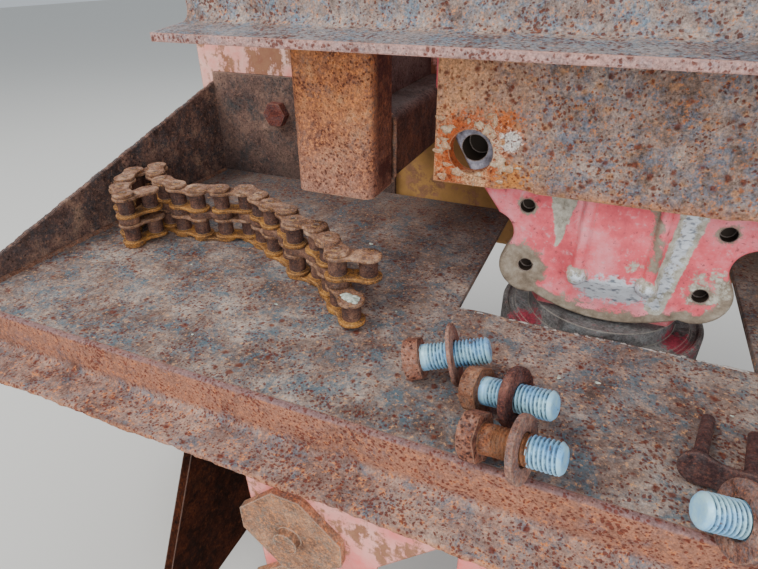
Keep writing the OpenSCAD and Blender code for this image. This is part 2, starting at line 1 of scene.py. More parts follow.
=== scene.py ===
import math
import bmesh
import bpy
import numpy as np
from mathutils import Matrix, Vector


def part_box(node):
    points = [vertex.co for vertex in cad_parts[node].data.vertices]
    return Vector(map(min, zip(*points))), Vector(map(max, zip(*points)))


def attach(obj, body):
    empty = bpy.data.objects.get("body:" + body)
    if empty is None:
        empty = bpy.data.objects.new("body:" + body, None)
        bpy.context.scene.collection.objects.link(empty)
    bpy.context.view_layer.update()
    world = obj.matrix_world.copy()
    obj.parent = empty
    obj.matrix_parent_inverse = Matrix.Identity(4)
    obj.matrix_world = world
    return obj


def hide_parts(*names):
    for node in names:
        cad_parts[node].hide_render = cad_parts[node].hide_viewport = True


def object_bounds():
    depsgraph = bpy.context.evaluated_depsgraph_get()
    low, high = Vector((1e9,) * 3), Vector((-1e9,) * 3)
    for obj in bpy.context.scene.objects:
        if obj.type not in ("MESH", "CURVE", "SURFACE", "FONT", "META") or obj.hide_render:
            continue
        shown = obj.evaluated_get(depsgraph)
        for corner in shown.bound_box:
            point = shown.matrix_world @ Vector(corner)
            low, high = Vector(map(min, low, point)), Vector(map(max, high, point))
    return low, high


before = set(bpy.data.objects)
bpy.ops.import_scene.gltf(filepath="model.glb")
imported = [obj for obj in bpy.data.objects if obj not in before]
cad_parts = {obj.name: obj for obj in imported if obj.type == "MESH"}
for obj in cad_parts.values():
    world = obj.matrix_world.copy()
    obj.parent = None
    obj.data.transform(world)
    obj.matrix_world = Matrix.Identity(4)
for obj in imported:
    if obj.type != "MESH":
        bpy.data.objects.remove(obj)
cad_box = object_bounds()
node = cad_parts
MM = 0.001


# The camera of a hand-held close-up, looking down and to the rear from in front of the
# shelf: its place, its turn about the upright, its downward tilt, its roll and its lens.
def stand(thing, axes, place):
    """Puts a camera or lamp into the scene at a place, with its X, Y and Z along the axes."""
    thing.matrix_world = Matrix([[*row, spot] for row, spot in zip(np.stack(axes).T, place)] + [[0, 0, 0, 1]])
    bpy.context.scene.collection.objects.link(thing)


PHOTO_W, SENSOR_W = 758, 36.0
eye = np.array([-18.3, -662.5, 259.1]) * MM
turn, tilt, roll, focal_px = 0.4106, 0.5372, -0.0080, 542.3
ahead = np.array([-math.sin(turn) * math.cos(tilt), math.cos(turn) * math.cos(tilt), -math.sin(tilt)])
level = np.array([math.cos(turn), math.sin(turn), 0.0])
above = np.cross(level, ahead)
right = level * math.cos(roll) + above * math.sin(roll)
up = above * math.cos(roll) - level * math.sin(roll)
camera_data = bpy.data.cameras.new("camera")
camera_data.sensor_width = SENSOR_W
camera_data.sensor_fit = "HORIZONTAL"
camera_data.lens = SENSOR_W * focal_px / PHOTO_W
camera_data.clip_start = 0.02
camera = bpy.data.objects.new("camera", camera_data)
stand(camera, [right, up, -ahead], eye)
bpy.context.scene.camera = camera

# Soft studio light: a pale world, one wide lamp high on the left like an open sky, a weaker
# one on the right that lifts the shadows and a third behind. Each is a name, its place and
# its aim in metres, its size, its power in watts and its tint.
world = bpy.data.worlds.new("studio")
world.use_nodes = True
sky = world.node_tree.nodes["Background"]
sky.inputs["Color"].default_value = (0.86, 0.93, 1.0, 1)
sky.inputs["Strength"].default_value = 0.6
bpy.context.scene.world = world
for name, place, aim, size, power, tint in (
        ("sky_lamp", (-1.7, -1.5, 2.3), (-0.1, -0.3, 0.0), 1.6, 72.0, (1.0, 0.97, 0.93)),
        ("fill_lamp", (0.9, -2.2, 0.8), (0.0, -0.2, 0.08), 1.8, 34.0, (0.97, 0.98, 1.0)),
        ("rear_lamp", (-0.6, 1.6, 1.6), (0.0, -0.1, 0.1), 1.5, 18.0, (0.95, 0.98, 1.0))):
    lamp_data = bpy.data.lights.new(name, "AREA")
    lamp_data.size = size
    lamp_data.energy = power
    lamp_data.color = tint
    gaze = np.array(place) - np.array(aim)
    gaze = gaze / np.linalg.norm(gaze)
    side = np.cross((0, 0, 1), gaze)
    side = side / np.linalg.norm(side)
    stand(bpy.data.objects.new(name, lamp_data), [side, np.cross(gaze, side), gaze], place)


# The studio floor: one plain pale sheet under the held frame.
def linear(code):
    """Turns an sRGB hex colour such as 8a7b70 into linear red, green, blue and alpha."""
    srgb = np.array([int(code[i:i + 2], 16) for i in (0, 2, 4)]) / 255.0
    flat = np.where(srgb <= 0.04045, srgb / 12.92, ((srgb + 0.055) / 1.055) ** 2.4)
    return (*flat.tolist(), 1.0)


def add(tree, kind, sockets=None, out=0, stops=None, **settings):
    """Adds one shader node and gives back its output of that name or number: settings are
    its options, sockets its inputs by name or number, each a value or the output that feeds
    it, and stops the colours along a ramp."""
    new = tree.nodes.new("ShaderNode" + kind)
    for option, value in settings.items():
        setattr(new, option, value)
    if stops:
        while len(new.color_ramp.elements) < len(stops):
            new.color_ramp.elements.new(0.5)
        for element, (place, code) in zip(new.color_ramp.elements, stops):
            element.position = place
            element.color = linear(code)
    for key, value in (sockets or {}).items():
        if isinstance(value, bpy.types.NodeSocket):
            tree.links.new(value, new.inputs[key])
        else:
            new.inputs[key].default_value = value
    return new.outputs[out] if new.outputs else None


def blank(name):
    """Starts a material with no nodes but its place on the object, and gives back all three."""
    material = bpy.data.materials.new(name)
    material.use_nodes = True
    material.node_tree.nodes.clear()
    return material, material.node_tree, add(material.node_tree, "TexCoord", out="Object")


def mesh_from(name, points, faces, merge=True):
    """Makes an object of points in metres and faces: doubles are merged unless told not to,
    faces turned outwards, and the smooth shading breaks at edges over 35 degrees."""
    mesh = bpy.data.meshes.new(name)
    mesh.from_pydata(np.asarray(points).reshape(-1, 3).tolist(), [], faces)
    work = bmesh.new()
    work.from_mesh(mesh)
    if merge:
        bmesh.ops.remove_doubles(work, verts=work.verts, dist=1e-6)
    bmesh.ops.recalc_face_normals(work, faces=work.faces)
    work.to_mesh(mesh)
    work.free()
    mesh.polygons.foreach_set("use_smooth", np.ones(len(mesh.polygons), bool))
    mesh.set_sharp_from_angle(angle=math.radians(35))
    thing = bpy.data.objects.new(name, mesh)
    bpy.context.scene.collection.objects.link(thing)
    return thing


def grid_faces(rows, columns, wrap=False):
    """Four-sided faces between neighbours of a rows by columns array of points, the last
    column joined to the first when it wraps."""
    index = np.arange(rows * columns).reshape(rows, columns)
    if wrap:
        index = np.concatenate([index, index[:, :1]], axis=1)
    quads = np.stack([index[:-1, :-1], index[:-1, 1:], index[1:, 1:], index[1:, :-1]], axis=-1)
    return quads.reshape(-1, 4).tolist()


floor_z = cad_box[0][2] - 60 * MM
floor_paper, tree, _ = blank("pale_studio_paper")
paper = add(tree, "BsdfPrincipled", {"Base Color": linear("d9d7d2"), "Roughness": 0.9})
add(tree, "OutputMaterial", {"Surface": paper})
span = np.linspace(-9, 9, 5)
studio_floor = mesh_from("studio_floor", [[x, y, floor_z] for x in span for y in span], grid_faces(5, 5))
studio_floor.data.materials.append(floor_paper)


# Shelf plate: hot-rolled steel plate cut by hand with a torch round the gearbox. Years of
# weather gave it a mottled brown rust with blue-grey scale, tan bloom and dark pits.
def edge_turn(tree, radius):
    """A normal that is rounded over edges by a radius in mm, and how far it agrees with the
    face's own: 1 on flats and less along edges."""
    soft = add(tree, "Bevel", {"Radius": radius * MM}, samples=4)
    own = add(tree, "NewGeometry", out="Normal")
    return soft, add(tree, "VectorMath", {0: soft, 1: own}, out="Value", operation="DOT_PRODUCT")


def skin(tree, colour, roughness, height, relief, strength, soft, **sockets):
    """Ends a material: one shader with the colour, the roughness and any other sockets, over
    a bump that follows the height to a relief in mm."""
    bump = add(tree, "Bump", {"Strength": strength, "Distance": relief * MM, "Height": height,
                              "Normal": soft})
    shader = add(tree, "BsdfPrincipled", {"Base Color": colour, "Roughness": roughness, "Normal": bump,
                                          **{key.replace("_", " "): value for key, value in sockets.items()}})
    add(tree, "OutputMaterial", {"Surface": shader})


def rusted_steel(name, shades, film="4f575b", bloom="a5714f", pit="4a2620", edge="a8673f", patch=55.0,
                 film_share=0.42, bloom_share=0.40, pit_size=3.4, pit_share=0.5, relief=0.5, rough=0.84,
                 grain=0.55, edge_share=0.7, gloss=0.35, washes=(), halos=(), blisters=()):
    """Rusted steel. Patches of rust shades wander over it at the patch size in mm, under a
    film of old scale, a powdery bloom, and pits of the pit size. Its edges are rounded and
    worn to the edge colour, and its relief in mm follows pits, patches and grain. Each wash
    is an axis, two places on it in mm, a colour and a share: it tints from none to full.
    Each halo is a centre and a reach in mm, a colour and how full its patch is. Each row
    of blisters is a size in mm, a share and a colour: round swellings of all sizes to it.
    Real grain is too fine to show, so the finest here is drawn 1.6 mm coarse."""
    material, tree, place = blank(name)
    drift = add(tree, "TexNoise", {"Vector": place, "Scale": 1000 / 42, "Detail": 3.0}, out="Color")
    bent = add(tree, "VectorMath", {0: drift, 1: (0.012, 0.012, 0.012), 2: place}, operation="MULTIPLY_ADD")
    cloud = add(tree, "TexNoise", {"Vector": bent, "Scale": 1000 / patch, "Detail": 11.0, "Roughness": 0.8})
    scale = add(tree, "TexNoise", {"Vector": bent, "Scale": 2600 / patch, "Detail": 11.0, "Roughness": 0.86,
                                   "Distortion": 0.4})
    powder = add(tree, "TexNoise", {"Vector": place, "Scale": 13000 / patch, "Detail": 9.0, "Roughness": 0.8})
    ragged = add(tree, "TexNoise", {"Vector": place, "Scale": 1000 / 1.6, "Detail": 5.0, "Roughness": 0.7})
    film_from, bloom_from = 0.61 - 0.3 * film_share, 0.66 - 0.3 * bloom_share
    coats = [(add(tree, "MapRange", {0: scale, 1: film_from, 2: film_from + 0.1, 4: 0.85}), film),
             (add(tree, "MapRange", {0: powder, 1: bloom_from, 2: bloom_from + 0.06}), bloom)]
    for axis, start, end, code, share in washes:
        along = add(tree, "SeparateXYZ", {0: place}, out=axis)
        wash = add(tree, "MapRange", {0: along, 1: start * MM, 2: end * MM, 4: share})
        cloudy = add(tree, "MapRange", {0: cloud, 1: 0.3, 2: 0.55})
        coats.append((add(tree, "Math", {0: wash, 1: cloudy}, operation="MULTIPLY"), code))
    for centre, reach, code, share in halos:
        middle = tuple(v * MM for v in centre)
        away = add(tree, "VectorMath", {0: place, 1: middle}, out="Value", operation="DISTANCE")
        near = add(tree, "MapRange", {0: away, 1: reach * MM, 2: 0.0, 4: share})
        near = add(tree, "Math", {0: powder, 1: 1.6, 2: near}, operation="MULTIPLY_ADD")
        coats.append((add(tree, "MapRange", {0: near, 1: 1.04, 2: 1.14, 4: 0.95}), code))
    fine = add(tree, "TexNoise", {"Vector": place, "Scale": 1000 / 3.0, "Detail": 3.0}, out="Color")
    bent = add(tree, "VectorMath", {0: fine, 1: (0.0034, 0.0034, 0.0034), 2: bent}, operation="MULTIPLY_ADD")
    for size, share, code in blisters:
        bubbles = add(tree, "TexVoronoi", {"Vector": bent, "Scale": 1000 / size}).node.outputs
        swell = add(tree, "Math", {0: bubbles["Color"], 1: share}, operation="MULTIPLY")
        swell = add(tree, "Math", {0: swell, 1: bubbles["Distance"]}, operation="SUBTRACT")
        swell = add(tree, "Math", {0: powder, 1: 0.5, 2: swell}, operation="MULTIPLY_ADD")
        coats.append((add(tree, "MapRange", {0: swell, 1: 0.22, 2: 0.40, 4: 0.85}), code))
    crowd = add(tree, "TexNoise", {"Vector": place, "Scale": 1000 / 34, "Detail": 4.0})
    reach = add(tree, "MapRange", {0: crowd, 1: 0.34, 2: 0.68, 3: 0.45 * pit_share, 4: pit_share})
    cells = add(tree, "TexVoronoi", {"Vector": bent, "Scale": 1000 / pit_size}).node.outputs
    reach = add(tree, "Math", {0: reach, 1: cells["Color"]}, operation="MULTIPLY")
    depth = add(tree, "Math", {0: reach, 1: cells["Distance"]}, operation="SUBTRACT")
    depth = add(tree, "Math", {0: ragged, 1: 0.9, 2: depth}, operation="MULTIPLY_ADD")
    pits = add(tree, "MapRange", {0: depth, 1: 0.36, 2: 0.56})
    coats.append((add(tree, "Math", {0: pits, 1: 0.82}, operation="MULTIPLY"), pit))
    colour = add(tree, "ValToRGB", {0: cloud}, stops=list(zip((0.38, 0.46, 0.54, 0.62), shades)))
    for mask, code in coats:
        colour = add(tree, "Mix", {0: mask, 6: colour, 7: linear(code)}, out=2, data_type="RGBA")
    tone = add(tree, "Math", {0: ragged, 1: powder}, operation="ADD")
    tone = add(tree, "MapRange", {0: tone, 1: 0.78, 2: 1.22, 3: 1 - grain, 4: 1 + grain})
    colour = add(tree, "VectorMath", {0: colour, 3: tone}, operation="SCALE")
    soft, turned = edge_turn(tree, 2.0)
    worn = add(tree, "MapRange", {0: turned, 1: 0.97, 2: 0.80, 4: edge_share})
    worn = add(tree, "Math", {0: worn, 1: powder}, operation="MULTIPLY")
    worn = add(tree, "MapRange", {0: worn, 1: 0.12, 2: 0.34})
    colour = add(tree, "Mix", {0: worn, 6: colour, 7: linear(edge)}, out=2, data_type="RGBA")
    height = cloud
    for part, share in ((pits, -0.7), (ragged, 0.6), (powder, 1.0)):
        height = add(tree, "Math", {0: part, 1: share, 2: height}, operation="MULTIPLY_ADD")
    sheen = add(tree, "MapRange", {0: scale, 1: 0.3, 2: 0.75, 3: rough + 0.08, 4: rough - 0.16})
    skin(tree, colour, sheen, height, relief, 0.9, soft, Specular_IOR_Level=gloss)
    return material


def dress(material, *names):
    """Gives CAD nodes their finish in place of the plain one that they came with."""
    for name in names:
        node[name].data.materials.clear()
        node[name].data.materials.append(material)


shelf_steel = rusted_steel(
    "rusted_hot_rolled_plate", ("53443f", "78635a", "968378", "b3a499"), film="526a76", bloom="c08f63",
    pit="5e2014", patch=54, film_share=0.44, bloom_share=0.36, pit_size=2.5, pit_share=0.72, grain=0.42,
    edge="8a766b", edge_share=0.6, blisters=((9, 0.4, "66301f"),),
    washes=((1, -200, -70, "4a3a35", 0.6), (0, 60, 300, "b39c7c", 0.3)))
dress(shelf_steel, "shelf_floor")


# Front angle: a hot-rolled angle welded along the shelf's edge, its upright leg rust red and
# its lying leg grey, with a rounded root and a toe gnawed into a ragged line by rust.
def sweep(sections):
    """Joins rows of section points into one closed bar and closes both ends. The sections
    are an array of stations by points by 3, in mm."""
    rows, columns = sections.shape[:2]
    faces = grid_faces(rows, columns, wrap=True)
    faces.append(list(range(columns)))
    faces.append(list(range((rows - 1) * columns, rows * columns)))
    return sections.reshape(-1, 3) * MM, faces


def waves(place, spacing, seed):
    """A wandering value between about -1 and 1: four sines along a place in mm, each finer
    and weaker than the last, the coarsest as long as the spacing."""
    turns = np.asarray(place)[..., None] * (2 * np.pi / spacing) * np.array([1.0, 1.93, 4.1, 8.7])
    return np.sin(turns + seed * np.array([1.3, 2.1, 3.7, 5.9])) @ np.array([0.5, 0.32, 0.2, 0.12])


def quarter(centre_y, centre_z, radius, start, steps=5):
    """Points of a quarter circle of section in Y and Z, from the start angle in degrees."""
    turn = np.radians(np.linspace(start, start + 90, steps))
    return np.stack([centre_y + radius * np.cos(turn), centre_z + radius * np.sin(turn)], axis=1)


SHELF_FRONT, SHELF_HALF = -437.0, 529.0
LEG, LEG_T, ROOT_R, TOE_R, CREST_R = 40.0, 5.0, 6.0, 2.4, 1.8
rear_y, toe_y = SHELF_FRONT + LEG_T, SHELF_FRONT + LEG_T - LEG
profile = np.concatenate([
    quarter(toe_y + TOE_R, -LEG + LEG_T - TOE_R, TOE_R, 90)[::-1],
    quarter(SHELF_FRONT - ROOT_R, -LEG + LEG_T + ROOT_R, ROOT_R, -90, 7),
    quarter(SHELF_FRONT + CREST_R, -CREST_R, CREST_R, 90)[::-1],
    [[rear_y, 0.0], [rear_y, -LEG + 1.0], [rear_y - 1.0, -LEG], [toe_y + 1.5, -LEG], [toe_y, -LEG + 1.5]]])
station = np.linspace(-SHELF_HALF, SHELF_HALF, 900)
sections = np.zeros((len(station), len(profile), 3))
sections[..., 0] = station[:, None]
sections[..., 1:] = profile
near_toe = np.clip((SHELF_FRONT - 8 - profile[:, 0]) / 24, 0, 1)
gnawed = np.clip(1.3 + 1.1 * waves(station, 130, 1.0) + 0.5 * waves(station, 17, 4.0), 0, 3.4)
sections[..., 1] += gnawed[:, None] * near_toe
sections[..., 2] += 0.35 * waves(station, 60, 2.0)[:, None] * near_toe * (profile[:, 1] > -LEG + 2)
angle = mesh_from("front_angle_bar", *sweep(sections))
angle_steel = rusted_steel(
    "rusted_angle_bar", ("684c43", "87695e", "a08174", "b99987"), film="66707a", bloom="c47d4e", pit="66281c",
    patch=54, film_share=0.38, pit_size=2.3, pit_share=0.78, relief=0.6, edge="b98f74", grain=0.45,
    blisters=((9, 0.36, "6a2c1c"),),
    washes=((2, -32.5, -26.0, "ae6a49", 0.7), (0, 150, 520, "a87a64", 0.45),
            (2, -2.4, -0.8, "83696a", 0.9), (1, -469, -472, "c27a4a", 0.8)))
angle.data.materials.append(angle_steel)
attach(angle, "frame")
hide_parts("front_angle")


# End plates: flame-cut side pieces of the shelf, welded on, their top edge sloping up to the
# back wall. Black-brown scale inside, with a ragged rusty edge and a folded lip at the rear.
END_T, END_LOW, CORNER = 5, -40.0, 1.2
end_steel = rusted_steel(
    "dark_scaled_plate", ("34231f", "54403a", "7a5d52", "a5856f"), film="3f4347", bloom="8f6852",
    pit="241412", patch=52, film_share=0.44, bloom_share=0.36, edge="a5897f", edge_share=0.95,
    washes=((1, -250, -430, "6a5149", 0.6),))
for side, name in ((-1, "end_plate_left"), (1, "end_plate_right")):
    run = np.linspace(SHELF_FRONT, -38, 300)
    top = np.interp(run, [SHELF_FRONT, -44, -38], [10, 122, 122])
    top = top - np.clip(0.7 + 0.7 * waves(run, 46, 3.0 + side) + 0.4 * waves(run, 9, 1.0), 0, 2.2)
    sections = np.zeros((len(run), 6, 3))
    sections[..., 0] = side * (SHELF_HALF + np.array([0, 0, CORNER, END_T - CORNER, END_T, END_T]))
    sections[..., 1] = run[:, None]
    sections[..., 2] = top[:, None] - np.array([0, CORNER, 0, 0, CORNER, 0])
    sections[:, [0, 5], 2] = END_LOW
    plate = mesh_from(name + "_cut", *sweep(sections))
    plate.data.materials.append(end_steel)
    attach(plate, "frame")
    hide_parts(name)


# Back walls: low steel plates behind the shelf, bolted to the body sill. Their rust is
# brown-black, and a wash darkens it towards the foot.
wall_steel = rusted_steel(
    "dark_rusted_wall_plate", ("4c3a36", "695149", "836659", "9c7c6b"), film="464849", bloom="84604e",
    pit="33201c", patch=60, film_share=0.4, bloom_share=0.33, edge="947a6b",
    washes=((2, 70, 0, "322b2c", 0.7),))
dress(wall_steel, "back_wall_left", "back_wall_right")


# Body sill: folded sheet of the spreader's body in a faded red coat, rust breaking through
# along its edges and in streaks that run down.
def old_paint(name, coat, faded, rust, worn_share, rough=0.55, streaks=0.5):
    """Weathered paint. A coat that fades in clouds lies over brown rust, which shows in
    patches of 48 mm, in fine chips, along the edges and in streaks downwards."""
    material, tree, place = blank(name)
    cloud = add(tree, "TexNoise", {"Vector": place, "Scale": 1000 / 48, "Detail": 8.0, "Roughness": 0.66})
    colour = add(tree, "ValToRGB", {0: cloud}, stops=((0.36, coat), (0.64, faded)))
    drawn = add(tree, "VectorMath", {0: place, 1: (1.0, 1.0, 0.16)}, operation="MULTIPLY")
    streak = add(tree, "TexNoise", {"Vector": drawn, "Scale": 1000 / 14, "Detail": 6.0, "Roughness": 0.6})
    chips = add(tree, "TexNoise", {"Vector": place, "Scale": 1000 / 9, "Detail": 9.0, "Roughness": 0.75})
    brown = add(tree, "ValToRGB", {0: chips}, stops=((0.38, rust), (0.62, "a9795c")))
    soft, turned = edge_turn(tree, 1.8)
    loss = add(tree, "MapRange", {0: turned, 1: 0.97, 2: 0.85, 4: 0.35})
    for part, share in ((cloud, 0.6), (streak, streaks), (chips, 0.5)):
        loss = add(tree, "Math", {0: part, 1: share, 2: loss}, operation="MULTIPLY_ADD")
    middle = 0.55 + 0.5 * streaks + 0.32 * (0.5 - worn_share)
    bare = add(tree, "MapRange", {0: loss, 1: middle - 0.03, 2: middle + 0.03})
    colour = add(tree, "Mix", {0: bare, 6: colour, 7: brown}, out=2, data_type="RGBA")
    height = add(tree, "Math", {0: bare, 1: -0.4, 2: chips}, operation="MULTIPLY_ADD")
    sheen = add(tree, "Mix", {0: bare, 2: rough, 3: 0.85}, data_type="FLOAT")
    skin(tree, colour, sheen, height, 0.4, 0.7, soft, Specular_IOR_Level=0.4)
    return material


sill_paint = old_paint("faded_red_sheet", "f28c80", "ffd2c2", "9c6650", worn_share=0.42)
dress(sill_paint, "body_sill")


# Cross member: box section welded across the machine under the sill. Its old ochre coat is
# dull and dirty, and rust shows through in patches.
member_paint = old_paint("dull_ochre_box_section", "9a7342", "bf9053", "5e4732", worn_share=0.3, streaks=0.25)
dress(member_paint, "cross_member")


# Posts and rails: rectangular tube, sawn and welded, in a bright orange-brown rust that has
# turned purple-grey near the foot. The posts' sides are painted dark red-brown as painted
# shade. The rails and the plates on top of them share a near-black copy of the rust, which is
# painted shade, greyer along the top.
tube_steel = rusted_steel(
    "orange_rusted_tube", ("70402e", "9c6043", "ba7850", "d49c70"), film="87695c", bloom="c67b46",
    pit="53261c", patch=40, film_share=0.36, bloom_share=0.5, pit_size=2.4, pit_share=0.72, relief=0.45,
    # The last wash is painted shade on the posts' sides, behind their front faces.
    edge="d3a98a", washes=((2, 165, 92, "97756b", 0.7), (1, -276, -262, "4a2218", 1.0)))
dress(tube_steel, "post_left", "post_right")
# The rails' near-black copy of the tube rust is painted shade.
rail_steel = rusted_steel(
    "shaded_dark_rusted_tube", ("321a12", "4c2b1e", "67402d", "82543c"), film="473630", bloom="6b4231", pit="24130f",
    patch=42, edge="7d5a48", washes=((2, 140, 150, "6d6764", 0.8),))
dress(rail_steel, "rail_left", "rail_right", "rail_web_left", "rail_web_right")


# Beam: hot-rolled channel, its web pale grey scale peppered with dark pits, its lower flange
# edge scraped and rounded by use.
beam_steel = rusted_steel(
    "grey_scaled_channel", ("6e5b54", "8f7c73", "a8958b", "bfada0"), film="728da0", bloom="bb805a",
    pit="5e281a", patch=46, film_share=0.42, bloom_share=0.38, pit_size=2.6, pit_share=0.8, edge="cf9d8e",
    edge_share=0.95, blisters=((9, 0.28, "ad8878"), (8, 0.36, "5c2a1e")),
    washes=((1, -292, -302, "7f8994", 0.55), (1, -327, -328.6, "c39388", 0.85)))
dress(beam_steel, "beam")


# Mounting plate: thick plate sawn to size, bored for the gearbox's four bolts. Its scale
# comes off in cream and orange flakes round the bolt holes and along its lower edge.
HOLE_X, HOLE_Z, PLATE_FRONT = 111.5, 139, -279
plate_steel = rusted_steel(
    "flaking_mounting_plate", ("6f5a4f", "937a6c", "b0978a", "c9b2a0"), film="727d8c", bloom="bd7544",
    pit="6c2812", patch=34, film_share=0.46, bloom_share=0.38, pit_size=2.8, pit_share=0.6, relief=1.1,
    edge="d6a882", blisters=((10, 0.36, "b58460"), (5, 0.34, "a55f3a"), (9, 0.36, "6a3020")),
    washes=((0, -50, -130, "e3a06c", 0.88), (2, 124, 114, "c07a4c", 0.85)),
    halos=[((x, PLATE_FRONT, z), reach, code, share) for x, z, reach, code, share in (
        (-90, 158, 30, "cc6a30", 0.5), (-HOLE_X, HOLE_Z, 44, "c05a24", 0.82), (-102, 144, 34, "e8ceb0", 0.46),
        (-84, 150, 11, "ebe2d8", 0.85), (-108, 122, 24, "e0b083", 0.5), (-80, 122, 30, "c9803f", 0.44),
        (-HOLE_X, HOLE_Z, 44, "7a2c15", 0.34))])
dress(plate_steel, "mounting_plate")


# Side plates under the shelf: flame-cut steel plates that hang from it. Their old rust is
# painted nearly black, as painted shade for the shadow under the shelf, and has no shine.
side_steel = rusted_steel(
    "black_brown_painted_shade_plate", ("190903", "2b1309", "3e1d10", "522b18"), film="1f100a", bloom="43200f",
    pit="140906", patch=70, edge="8d7468", edge_share=0.9, rough=0.98, gloss=0.1)
dress(side_steel, "side_plate_left", "side_plate_right")


# Gussets and the middle tab: small steel plates welded under the angle. The sun has
# bleached their red coat to a chalky pink.
gusset_paint = old_paint("bleached_pink_plate", "fb7c76", "ffb8ac", "96614a", worn_share=0.34, rough=0.5)
dress(gusset_paint, "gusset_left", "gusset_right", "centre_tab")


# Keeper plates: square steel plates with clipped corners that hold heavy pins. A dusty tan
# and grey rust lies over what is left of their red.
keeper_steel = rusted_steel(
    "tan_rusted_keeper", ("6c4e3f", "8f6750", "ad7f62", "c49a79"), film="82766a", bloom="c27b48",
    pit="6a3426", patch=30, film_share=0.42, bloom_share=0.42, pit_size=3.0, pit_share=0.3, relief=0.35,
    edge="d3b7a0")
dress(keeper_steel, "keeper_left", "keeper_right")


# Gearbox cover: a grey-iron casting with ears, bolting pads and a ribbed barrel that tapers
# to the belly, its red coat chalked to pink and rubbed off the barrel's flank and knobs.
def smooth_max(a, b, blend):
    """The larger of two heights, with a fillet as wide as the blend where they meet."""
    part = np.clip(0.5 + 0.5 * (a - b) / blend, 0, 1)
    return b + (a - b) * part + blend * part * (1 - part)


def fade(distance, width):
    """Falls from 1 to 0 as a distance grows from minus the width to plus the width."""
    return 0.5 - 0.5 * np.clip(distance / width, -1, 1)


def to_segment(x, z, start, end):
    """Distance of points in X and Z from a segment, and how far along it they lie."""
    run = np.subtract(end, start)
    along = np.clip(((x - start[0]) * run[0] + (z - start[1]) * run[1]) / (run @ run), 0, 1)
    return np.hypot(x - start[0] - along * run[0], z - start[1] - along * run[1]), along


COVER_REAR, COVER_FACE, COVER_MID, PLATEAU, KNOB_Z, KNOB_R = -242.0, -256, 106.0, 11, 47.5, 8
LOBE_X, LOBE_Z, LOBE_R, BELLY_R, BELLY_Z = 62, 42.5, 24, 120, 126


def cover_rise(x, z):
    """Height of the cover in front of its flange: the plateau behind the mounting plate, two
    pads, the tapering barrel and a rib with a knob at its foot on each side. Each has its
    own height and falls off past its edge, and the largest counts, with fillets between.
    The barrel is a crown whose top and foot have half widths that grow with z."""
    half = np.abs(x)
    rise = PLATEAU * np.clip((z - 170) / 3, 0, 1)
    pad = PLATEAU * np.clip((24.2 - np.hypot(half - HOLE_X, z - HOLE_Z)) / 2.6, 0, 1)
    top_half = np.interp(z, [40, 54.5, 176], [13, 25, 29])
    foot_half = np.interp(z, [18, 44.5, 176], [26, 40, 58])
    flank = (foot_half - half) / (foot_half - top_half)
    crown = 7.2 + 1.8 * np.cos(np.clip(half / 26, 0, 1) * np.pi / 2)
    barrel = crown * np.clip(np.minimum(flank * 1.25, (z - 17) / 27), 0, 1) * np.where(z > 170, 0, 1)
    rib_x = np.where(x < 0, 23.5, 27)
    from_rib = np.hypot(half - rib_x, np.clip(KNOB_Z - z, 0, None))
    crest = np.interp(z, [KNOB_Z, 60, 108, 114], [12.5, 12.2, 11.2, 10.9])
    rib = crest - 0.42 * np.clip(from_rib - 1.6, 0, None) ** 2
    knob = KNOB_R + np.sqrt(np.clip(KNOB_R ** 2 - (half - rib_x) ** 2 - (z - KNOB_Z) ** 2, 0, None))
    knob = np.where(knob > KNOB_R + 0.01, knob, 0)
    rise = smooth_max(rise, pad, 1.6)
    rise = smooth_max(rise, barrel, 3.0)
    rise = smooth_max(rise, np.where(z > 174, 0, np.clip(rib, 0, None)), 1.8)
    return smooth_max(rise, knob, 1.6)


def cover_outline(count):
    """The edge of the cover as points in X and Z with their inward directions: rays from a
    centre find the edge of the shoulders, waist, ears and belly, denser towards the foot."""
    part = np.linspace(-1, 1, count, endpoint=False)
    turn = np.pi * (0.55 * part + 0.45 * part ** 3) - np.pi / 2
    ray = np.stack([np.cos(turn), np.sin(turn)], axis=1)
    reach = np.arange(20, 330, 0.25)
    x, z = ray[:, :1] * reach, 120 + ray[:, 1:] * reach
    half = np.abs(x)
    width = np.interp(z, [42.5, 70, 88, 105, 148, 180, 329, 341],
                      [80.5, 82.5, 91.5, 104.5, 130, 145, 145, 133])
    body = (half < width) & (z > LOBE_Z) & (z < 341) & (np.hypot(half - 94.5, z - 69) > 17.5)
    lobes = np.hypot(half - LOBE_X, z - LOBE_Z) < LOBE_R
    belly = (np.hypot(x, z - BELLY_Z) < BELLY_R) & (half < LOBE_X) & (z < 60)
    inside = body | lobes | belly
    last = inside.shape[1] - 1 - np.argmax(inside[:, ::-1], axis=1)
    edge = np.stack([x[np.arange(count), last], z[np.arange(count), last]], axis=1)
    for _ in range(2):
        edge = (np.roll(edge, 1, 0) + 2 * edge + np.roll(edge, -1, 0)) / 4
    along = np.roll(edge, -1, 0) - np.roll(edge, 1, 0)
    inward = np.stack([-along[:, 1], along[:, 0]], axis=1)
    return edge, inward / np.linalg.norm(inward, axis=1, keepdims=True)


def gather(parts):
    """Joins parts, each of points and faces, into one array of points and one list of faces."""
    faces, total = [], 0
    for spots, patches in parts:
        faces += [[int(v) + total for v in face] for face in patches]
        total += len(spots)
    return np.concatenate([spots for spots, _ in parts]), faces


def full_turn(count):
    """Angles of a full turn in equal steps, its end left out."""
    return np.linspace(0, 2 * np.pi, count, endpoint=False)


